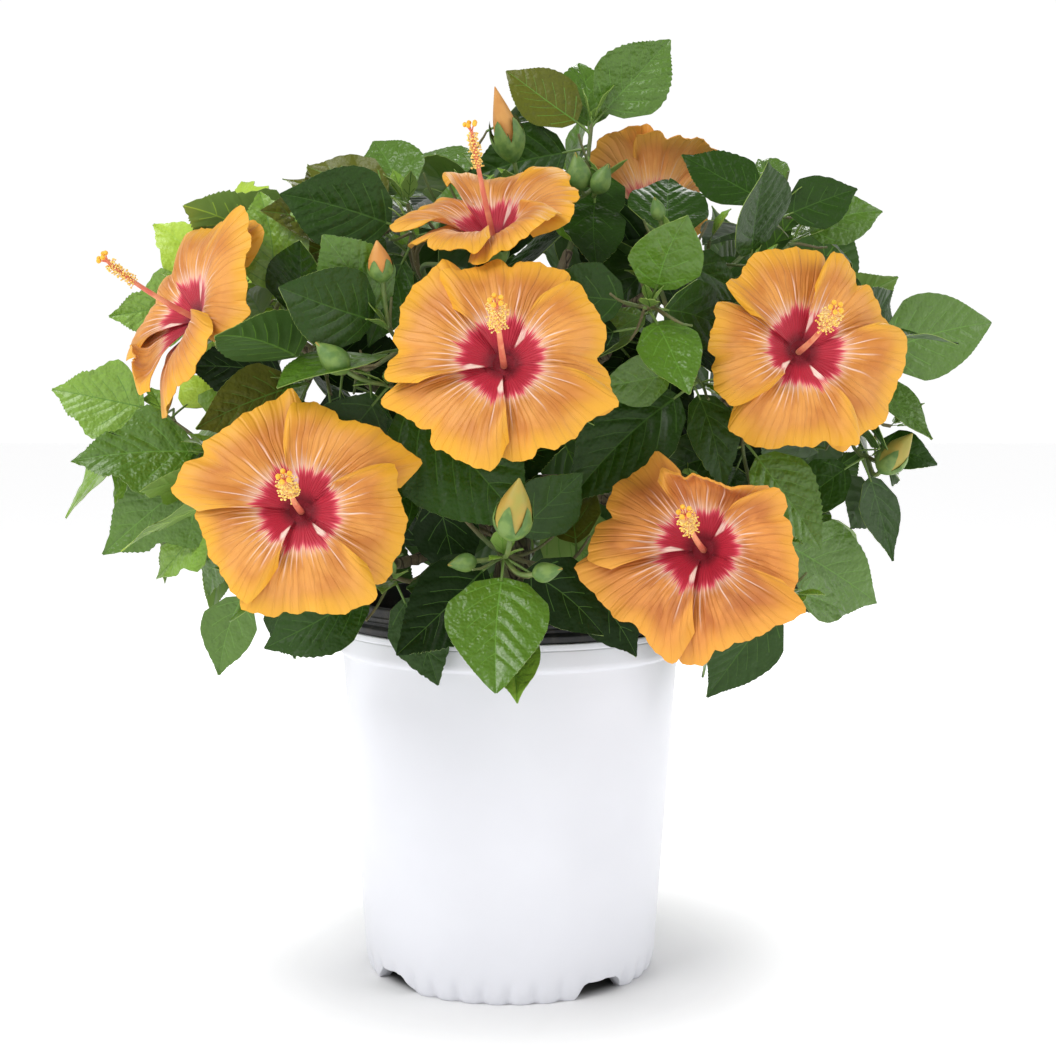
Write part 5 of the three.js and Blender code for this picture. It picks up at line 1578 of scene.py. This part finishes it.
def add_more_leaves(shape, growth):
    """Each hangs from the point of its mass's twigs that is nearest to its foot."""
    for i, item in enumerate(MORE_LEAVES):
        if item.mass != growth.mass.name:
            continue
        direction = clock_direction(item.hour, item.lean)
        base = vec(item.middle) - direction * item.length / 2
        spots = [(limb[0], t) for limb in growth.limbs for t in np.linspace(0, 1, 9)]
        holder, t = min(spots, key=lambda spot: np.linalg.norm(spot[0].smooth_at(spot[1]) - base))
        leaf = make_leaf(base, direction, 0, item.length, mixed((FRONT, 0.8), (UP, 0.4)), 0)
        leaf.holder, leaf.t = holder, t
        rng = own_random(SEEDS.more_leaves + i)
        look = leaf_look(leaf, rng, item.mass, False)
        look.upper, look.lobed = LEAF_KINDS.index(item.look), 0
        look.vein = LEAF_KINDS.index(TONE_VEINS[look.upper])
        add_leaf(shape, leaf, look, rng, LARGE_GRID)


# Pieces. Every random generator has a number of its own, counted on from these.
SEEDS = Values(
    soil=60, petals=200, stamens=400, calyx=500, buds=900, more_buds=930, leaves=10000, young=40000,
    more_leaves=60000, per_mass=1000, per_bloom=10,
)


def add_twig(shape, twig, base, tip, number):
    """A twig with a little knot now and then. The first of a mass reaches into its bough."""
    steps = max(5, int(np.linalg.norm(twig.at(1) - twig.at(0)) / 5))
    shares = np.linspace(0, 1, steps)
    line = [twig.smooth_at(t) for t in shares]
    radii = list((base + (tip - base) * shares) * (1 + 0.12 * np.sin(shares * steps * 2.1 + number) ** 8))
    if number == 0:
        line.insert(0, line[0] - twig.tangent(0) * 4)
        radii.insert(0, base + 0.4)
    add_tube(shape, line, radii, 8)


def build_crown(growths, finishes):
    """The leaves of each mass, and all the twigs."""
    kinds = [finishes[name] for name in LEAF_KINDS]
    shown = seen_blades([leaf for growth in growths for leaf in growth.leaves if leaf.read])
    twigs = Shape()
    for order, growth in enumerate(growths):
        name, leaves = growth.mass.name, Shape()
        first = SEEDS.per_mass * order
        for i, leaf in enumerate(growth.leaves):
            rng = own_random(SEEDS.leaves + first + i)
            finer = i >= growth.source_leaves
            if covers_bloom(leaf) or (finer and hides_shown_leaf(leaf, shown)):
                continue
            look = leaf_look(leaf, rng, name, not finer and growth.mass.shoots)
            add_leaf(leaves, leaf, look, rng, LARGE_GRID if leaf.length > LARGE_FROM else SMALL_GRID)
        add_more_leaves(leaves, growth)
        for i, (twig, base, tip) in enumerate(growth.limbs):
            add_twig(twigs, twig, base, tip, i)
            if i < len(growth.source_limbs):
                rng = own_random(SEEDS.young + first + i)
                look = leaf_look(growth.leaves[0], rng, name, False)
                look.upper, look.under = LEAF_KINDS.index("leaf_fresh"), LEAF_KINDS.index("leaf_under_light")
                add_young_leaves(leaves, growth.mass, twig, rng, look)
        leaves.make("leaves_" + name, kinds, ["mass_" + name], "foliage")
    masses = ["mass_" + growth.mass.name for growth in growths]
    twigs.make("twigs", [finishes["twig"]], masses, "foliage")


def build_buds(growths, finishes):
    for growth in growths:
        name = growth.mass.name
        more = [bud for bud in MORE_BUDS if bud.mass == name]
        if not growth.buds and not more:
            continue
        shape = Shape()
        for i, (foot, direction, length, stalk) in enumerate(growth.buds):
            look = BUD_LOOKS.get((name, length), "green")
            add_bud(shape, foot, direction, length, stalk, look, own_random(SEEDS.buds + i))
        for i, bud in enumerate(more):
            foot, tip, twig = vec(bud.foot), vec(bud.tip), vec(bud.twig)
            direction, length = unit(tip - foot), np.linalg.norm(tip - foot)
            stalk = Twig(twig, mixed((foot - twig, 0.05), (FRONT, 1)), foot + direction, direction)
            line = [stalk.smooth_at(share) for share in np.linspace(0, 1, 10)]
            rng = own_random(SEEDS.more_buds + i)
            add_bud(shape, foot, direction, length, 0, bud.look, rng, line)
        shape.make("buds_" + name, [finishes[kind] for kind in BUD_KINDS], ["mass_" + name], "foliage")


def build_blooms(finishes):
    for i, bloom in enumerate(BLOOMS):
        f = bloom_frame(bloom)
        name, node = bloom.name, "bloom_" + bloom.name
        petals, middle, behind = Shape(), Shape(), Shape()
        for petal in range(BLOOM.petals):
            add_petal(petals, bloom, f, petal, own_random(SEEDS.petals + SEEDS.per_bloom * i + petal))
        add_throat(petals, f)
        front = finishes["petal_old" if name in OLD_BLOOMS else "petal"]
        petals.make("petals_" + name, [front, finishes["petal_back"]], [node], "petals")
        add_stamens(middle, bloom, f, own_random(SEEDS.stamens + i))
        middle.make("stamens_" + name, [finishes[kind] for kind in STAMENS], [node], "petals")
        add_calyx(behind, bloom, f, own_random(SEEDS.calyx + i))
        behind.make("calyx_" + name, [finishes["calyx"], finishes["stalk"]], [node], "foliage")


# The trunk and boughs as one surface: the size of its cells, and its bark's ridges, which are stretched
# along the limbs and deeper near the foot
BARK = Values(
    cell=0.0013, smoothing=3, stretch=[260, 260, 60], finer=2.3, least=0.0002, most=0.0007, fades=0.43,
    fade=0.2, flat_foot=0.6, swell=2.2, swell_fade=9, end=0.8,
)


def build_limbs(finishes):
    """The trunk and its boughs, grown together into one surface with the bark's relief."""
    shape = Shape()
    steps = np.linspace(0, 1, 60)
    add_tube(shape, [trunk_curve(t) for t in steps], [trunk_radius(t) for t in steps], 40)
    for curve in boughs.values():
        shares = np.linspace(0, 1, 24)
        radii = BOUGH.base_radius + (BOUGH.tip_radius - BOUGH.base_radius) * shares
        radii = radii + BARK.swell * np.exp(-shares * BARK.swell_fade)
        radii[-1] *= BARK.end
        add_tube(shape, [curve.smooth_at(t) for t in shares], radii, 16)
    points = np.concatenate(shape.points) * MM
    faces = [face.tolist() for part in shape.faces for face in part]
    rough = new_object("limbs_rough", new_mesh("limbs_rough", points.tolist(), faces))
    remesh = rough.modifiers.new("grown", "REMESH")
    remesh.mode, remesh.voxel_size = "VOXEL", BARK.cell
    rough.modifiers.new("soft", "SMOOTH").iterations = BARK.smoothing
    grown = evaluated(rough)
    bpy.data.objects.remove(rough)
    grown.name = "limbs"
    places, normals = (np.zeros(len(grown.vertices) * 3, np.float32) for _ in range(2))
    grown.vertices.foreach_get("co", places)
    grown.vertices.foreach_get("normal", normals)
    places, normals = places.reshape(-1, 3), normals.reshape(-1, 3)
    spots = places * BARK.stretch
    ridges = np.array([noise.noise(Vector(p)) + 0.5 * noise.noise(Vector(p * BARK.finer)) for p in spots])
    depth = BARK.least + BARK.most * smooth(0.0, 1.0, (BARK.fades - places[:, 2]) / BARK.fade)
    depth[places[:, 2] < (TRUNK.path[0][2] + BARK.flat_foot) * MM] = 0
    places = places + normals * (depth * ridges)[:, None]
    grown.vertices.foreach_set("co", places.astype(np.float32).ravel())
    smooth_faces(grown)
    grown.materials.clear()
    grown.materials.append(finishes["bark"])
    grown.update()
    finish_piece("limbs", grown, ["trunk"] + ["bough_" + name for name in boughs])


def smooth_faces(mesh, sharp_from=None):
    """Smooth shading, with sharp edges where faces meet at more than an angle in degrees."""
    mesh.polygons.foreach_set("use_smooth", np.ones(len(mesh.polygons), bool))
    if sharp_from:
        mesh.set_sharp_from_angle(angle=math.radians(sharp_from))


def rounded(profile, radius):
    """A profile whose inner corners are rounded."""
    points = [vec(p) for p in profile]
    result = [points[0]]
    for before, corner, after in zip(points, points[1:], points[2:]):
        start, end = (
            corner + unit(other - corner) * min(radius, np.linalg.norm(other - corner) * 0.4)
            for other in (before, after)
        )
        result += [start * (1 - s) ** 2 + corner * 2 * s * (1 - s) + end * s * s for s in (0, 0.33, 0.67, 1)]
    return np.array(result + [points[-1]])


def turned(profile, segments, change=None):
    """A profile of radius and height turned round the vertical, as points in rows."""
    turn = full_turn(segments)[None]
    radius, height = profile[:, :1] + 0 * turn, profile[:, 1:] + 0 * turn
    if change:
        radius = change(radius, height, turn)
    return joined(radius * np.sin(turn), -radius * np.cos(turn), height)


# The flutes near the foot of the pot's wall, and how finely the turned parts are cut, their edges
# rounded and their shading sharpened
FLUTE = Values(count=36, depth=2.3, full=3, fade=19, sharpness=2.2)
EDGES = Values(
    pot_corners=0.8, pot_segments=432, pot_bevel=0.0005, bevel_from=50, pot_sharp=38, weld=0.00001,
    liner_corners=0.6, liner_segments=240, liner_sharp=40, soil_segments=220,
)


def fluted(radius, height, turn):
    groove = (0.5 + 0.5 * np.cos(FLUTE.count * turn)) ** FLUTE.sharpness
    share = smooth(FLUTE.fade, FLUTE.full, height) * (radius > POT.foot_inner + 2)
    return radius - FLUTE.depth * groove * share


def build_pot(finishes):
    rim, top, wall, disc, base = POT.rim_radius, POT.height, POT.wall_top, POT.disc_radius, POT.wall_base
    foot, groove, low = POT.foot_inner, POT.groove_height, POT.wall_base_height
    lean = (wall - base) / (POT.rim_foot - low - 1)
    slope = [(base + lean * (z - low), z) for z in (15, 18, 22, 60, 110, 160)]
    profile = rounded([
        (0.1, 0), (disc, 0), (disc + 1.5, groove), (foot - 1.5, groove), (foot, 0), (POT.foot_radius, 0),
        (base - 1.4, 3), (base - 0.5, 7), (base, low), *slope,
        (wall, POT.rim_foot - 1), (rim - 0.4, POT.rim_foot + 0.6), (rim, POT.rim_foot + 3),
        (rim - 0.5, top - 4.4), (rim - 1.0, top - 3.9), (rim - 0.6, top - 3.2), (rim - 0.6, top),
        (rim - 4.2, top), (rim - 4.2 - 0.3, POT.rim_foot), (base - POT.wall, POT.floor),
        (disc - 0.6, POT.floor), (disc - 2.2, 2.2), (0.1, 2.2),
    ], EDGES.pot_corners)
    shape = Shape()
    points = turned(profile, EDGES.pot_segments, fluted)
    around = list(range(EDGES.pot_segments))
    shape.add_grid(points)
    shape.add(points[0], [around[::-1]])
    shape.add(points[-1], [around])
    piece = shape.make("pot_body", [finishes["pot"]], ["pot"], "pot")
    piece.modifiers.new("weld", "WELD").merge_threshold = EDGES.weld
    cutters = [notch_cutter(i) for i in range(NOTCH.count)]
    for cutter in cutters:
        cut = piece.modifiers.new("notch", "BOOLEAN")
        cut.operation, cut.solver, cut.object = "DIFFERENCE", "EXACT", cutter
    bevel = piece.modifiers.new("edges", "BEVEL")
    bevel.width, bevel.segments, bevel.limit_method = EDGES.pot_bevel, 2, "ANGLE"
    bevel.angle_limit = math.radians(EDGES.bevel_from)
    mesh = evaluated(piece)
    piece.modifiers.clear()
    piece.data = mesh
    for cutter in cutters:
        bpy.data.objects.remove(cutter)
    smooth_faces(mesh, EDGES.pot_sharp)


def notch_cutter(index):
    """A block in a notch's shape, a little wider outside, that is cut out of the pot's foot."""
    foot, head, top = NOTCH.foot_width / 2, NOTCH.top_width / 2, NOTCH.height
    half = [(foot + 3, -4), (foot - 0.8, 1), (head + 1.2, top - 1.4), (head - 1, top)]
    outline = [(-foot - 3, -4)] + half + [(-x, z) for x, z in half[:0:-1]]
    angle = math.radians(NOTCH.first_angle + 360 / NOTCH.count * index)
    sine, cosine = math.sin(angle), math.cos(angle)
    points = [
        (x * widened * cosine + depth * sine, x * widened * sine - depth * cosine, z)
        for depth, widened in ((POT.foot_inner - 3, 1), (POT.foot_inner + 16, 1.08)) for x, z in outline
    ]
    count = len(outline)
    faces = [list(range(count - 1, -1, -1)), list(range(count, 2 * count))]
    faces += [[i, (i + 1) % count, (i + 1) % count + count, i + count] for i in range(count)]
    return new_object("notch_cutter", new_mesh("notch_cutter", (np.array(points) * MM).tolist(), faces))


def build_liner(finishes):
    floor, seat = POT.floor + CLEARANCE, POT.height + CLEARANCE
    base, upper, flange = LINER.base_radius, LINER.top_radius, LINER.flange
    inner, collar, top = upper - LINER.wall, LINER.collar, LINER.height
    ridges = []
    for z in (seat + 7.5, seat + 10.6):
        ridges += [(collar, z - 0.9), (collar + 0.9, z), (collar, z + 0.9)]
    profile = rounded([
        (0.1, floor), (base, floor), (upper, seat - 4), (upper + 0.4, seat), (flange, seat),
        (flange + 0.2, seat + 4), (collar, seat + 6), *ridges, (collar, top - 1.2), (collar - 0.8, top),
        (inner + 0.4, top), (inner, seat - 4), (base - LINER.wall, floor + 2), (0.1, floor + 2),
    ], EDGES.liner_corners)
    shape = Shape()
    shape.add_grid(turned(profile, EDGES.liner_segments))
    piece = shape.make("liner_body", [finishes["liner"]], ["liner"], "liner")
    smooth_faces(piece.data, EDGES.liner_sharp)


# The soil's crumbs, each layer's height and how fine it is, and the chips that lie on it
CRUMBS = [(1.5, 1), (1.1, 3.1), (0.6, 8.7)]
SOIL_TOP = Values(rows=70, scale=0.09, sunk=1.3, most=1.6)
CHIPS = Values(
    count=620, size=[1.2, 4.2], width=[0.4, 0.8], thickness=[0.2, 0.45], worn=[0.6, 1.0], tip=[-0.5, 0.5],
    bark_share=0.75, sunk=0.6,
)


def build_soil(finishes):
    """Soil with a crumbly top, and chips of bark lying on it."""
    inner = LINER.base_radius - LINER.wall - 0.8
    edge = LINER.top_radius - LINER.wall - 0.7
    floor = POT.floor + 2 + 2 * CLEARANCE

    def height_at(share):
        return SOIL.edge + (SOIL.crown - SOIL.edge) * min(1, (1 - share) / (1 - SOIL.flat / edge))

    side = [(0.1, floor), (inner, floor), (edge - 0.6, SOIL.edge - 10)]
    top = [(edge * s, height_at(s)) for s in np.linspace(1, 0.002, SOIL_TOP.rows)]
    points = turned(np.array(side + top), EDGES.soil_segments)
    rng = own_random(SEEDS.soil)
    for point in points[len(side):].reshape(-1, 3):
        spot = Vector((point[0] * SOIL_TOP.scale, point[1] * SOIL_TOP.scale, 0.3))
        crumbs = sum(size * noise.noise(spot * finer) for size, finer in CRUMBS)
        point[2] = min(point[2] + crumbs - SOIL_TOP.sunk, SOIL.crown + SOIL_TOP.most)
    shape = Shape()
    shape.add_grid(points)
    for _ in range(CHIPS.count):
        radius, angle = edge * math.sqrt(rng.uniform(0.02, 0.95)), rng.uniform(0, 2 * np.pi)
        height = height_at(radius / edge) - CHIPS.sunk
        add_chip(shape, vec([radius * math.cos(angle), radius * math.sin(angle), height]), rng)
    shape.make("soil_top", [finishes["soil"], finishes["chip"]], ["soil"], "soil", flat=True)


def add_chip(shape, centre, rng):
    size = rng.uniform(*CHIPS.size) * np.array([1, rng.uniform(*CHIPS.width), rng.uniform(*CHIPS.thickness)])
    corners = np.array([(x, y, z) for x in (-1, 1) for y in (-1, 1) for z in (-1, 1)], float)
    corners = corners * size * rng.uniform(*CHIPS.worn, (8, 3))
    turn, tip = rng.uniform(0, 2 * np.pi), rng.uniform(*CHIPS.tip)
    flat = np.array([[math.cos(turn), -math.sin(turn), 0], [math.sin(turn), math.cos(turn), 0], [0, 0, 1]])
    lean = np.array([[1, 0, 0], [0, math.cos(tip), -math.sin(tip)], [0, math.sin(tip), math.cos(tip)]])
    faces = [[0, 1, 3, 2], [4, 6, 7, 5], [0, 4, 5, 1], [2, 3, 7, 6], [0, 2, 6, 4], [1, 5, 7, 3]]
    shape.add(centre + corners @ lean.T @ flat.T, faces, int(rng.random() < CHIPS.bark_share))


# Floor, light and camera
STUDIO = Values(floor_reach=14.0, dark_to=(0.094, 0.08), glow=(0.083, 0.27), glow_strength=0.62)
WORLD = Values(horizon=0.22, overhead=0.5, white=1.02, dim=0.3)
LIGHTS = rows(
    "name place aim size power",
    ["key", (-1.3, -1.3, 2.0), (0, 0, 0.38), 1.3, 39],
    ["fill", (1.9, -0.7, 1.2), (0, 0, 0.38), 1.2, 11],
    ["back", (0.4, 1.6, 1.9), (0, 0, 0.42), 0.9, 18],
)
CAMERA = Values(place=(0.0116, -1.110, 0.365), pitch=0.0733, lens=58.64, sensor=36, clip=(0.05, 60))


def build_stage():
    """A pale floor that glows away from the pot, lit from below as a light table is, with a painted shadow
    under the pot.
    """
    far = STUDIO.floor_reach
    corners = [(-far, -far, 0), (far, -far, 0), (far, far, 0), (-far, far, 0)]
    mesh = new_mesh("floor", corners, [[0, 1, 2, 3]])
    floor = new_object("floor", mesh)
    finish = Finish("floor", tone(236, 236, 237), 0.9, Emission_Color=(1, 1, 1, 1))
    away = finish.length(finish.place())
    finish.set(Emission_Strength=finish.times(finish.ramp(away, *STUDIO.glow), STUDIO.glow_strength))
    white = finish.blend(finish.noise(finish.place(), 3, 2.0), tone(235, 235, 236), tone(237, 237, 238))
    # painted shadow: close under the pot the floor's colour turns dark grey
    finish.mottle(away, *STUDIO.dark_to, white, tone(96, 96, 94))
    mesh.materials.append(finish.material)


def build_world():
    """White all round near the horizon, and dimmer overhead."""
    world = bpy.data.worlds.new("studio")
    bpy.context.scene.world = world
    world.use_nodes = True
    nodes, back = Nodes(world.node_tree), world.node_tree.nodes["Background"]
    height = nodes.parts(nodes.node("TexCoord").outputs["Generated"])[2]
    strength = nodes.ramp(height, WORLD.horizon, WORLD.overhead, WORLD.white, WORLD.dim)
    nodes.feed(back.inputs["Strength"], strength)
    back.inputs["Color"].default_value = (1, 1, 1, 1)


def add_light(item):
    data = bpy.data.lights.new(item.name, "AREA")
    data.energy, data.size = item.power, item.size
    light = new_object(item.name, data)
    light.location = item.place
    light.rotation_euler = (Vector(item.aim) - Vector(item.place)).to_track_quat("-Z", "Y").to_euler()


def build_camera():
    data = bpy.data.cameras.new("camera")
    data.lens, data.sensor_width = CAMERA.lens, CAMERA.sensor
    data.clip_start, data.clip_end = CAMERA.clip
    camera = new_object("camera", data)
    camera.location = CAMERA.place
    camera.rotation_euler = (math.pi / 2 - CAMERA.pitch, 0, 0)
    bpy.context.scene.camera = camera


build_stage()
build_world()
for light in LIGHTS:
    add_light(light)
build_camera()
bpy.context.scene.view_settings.view_transform = "Standard"

finishes = make_finishes()
growths = grow_crown()
build_crown(growths, finishes)
build_buds(growths, finishes)
build_blooms(finishes)
build_limbs(finishes)
build_pot(finishes)
build_liner(finishes)
build_soil(finishes)
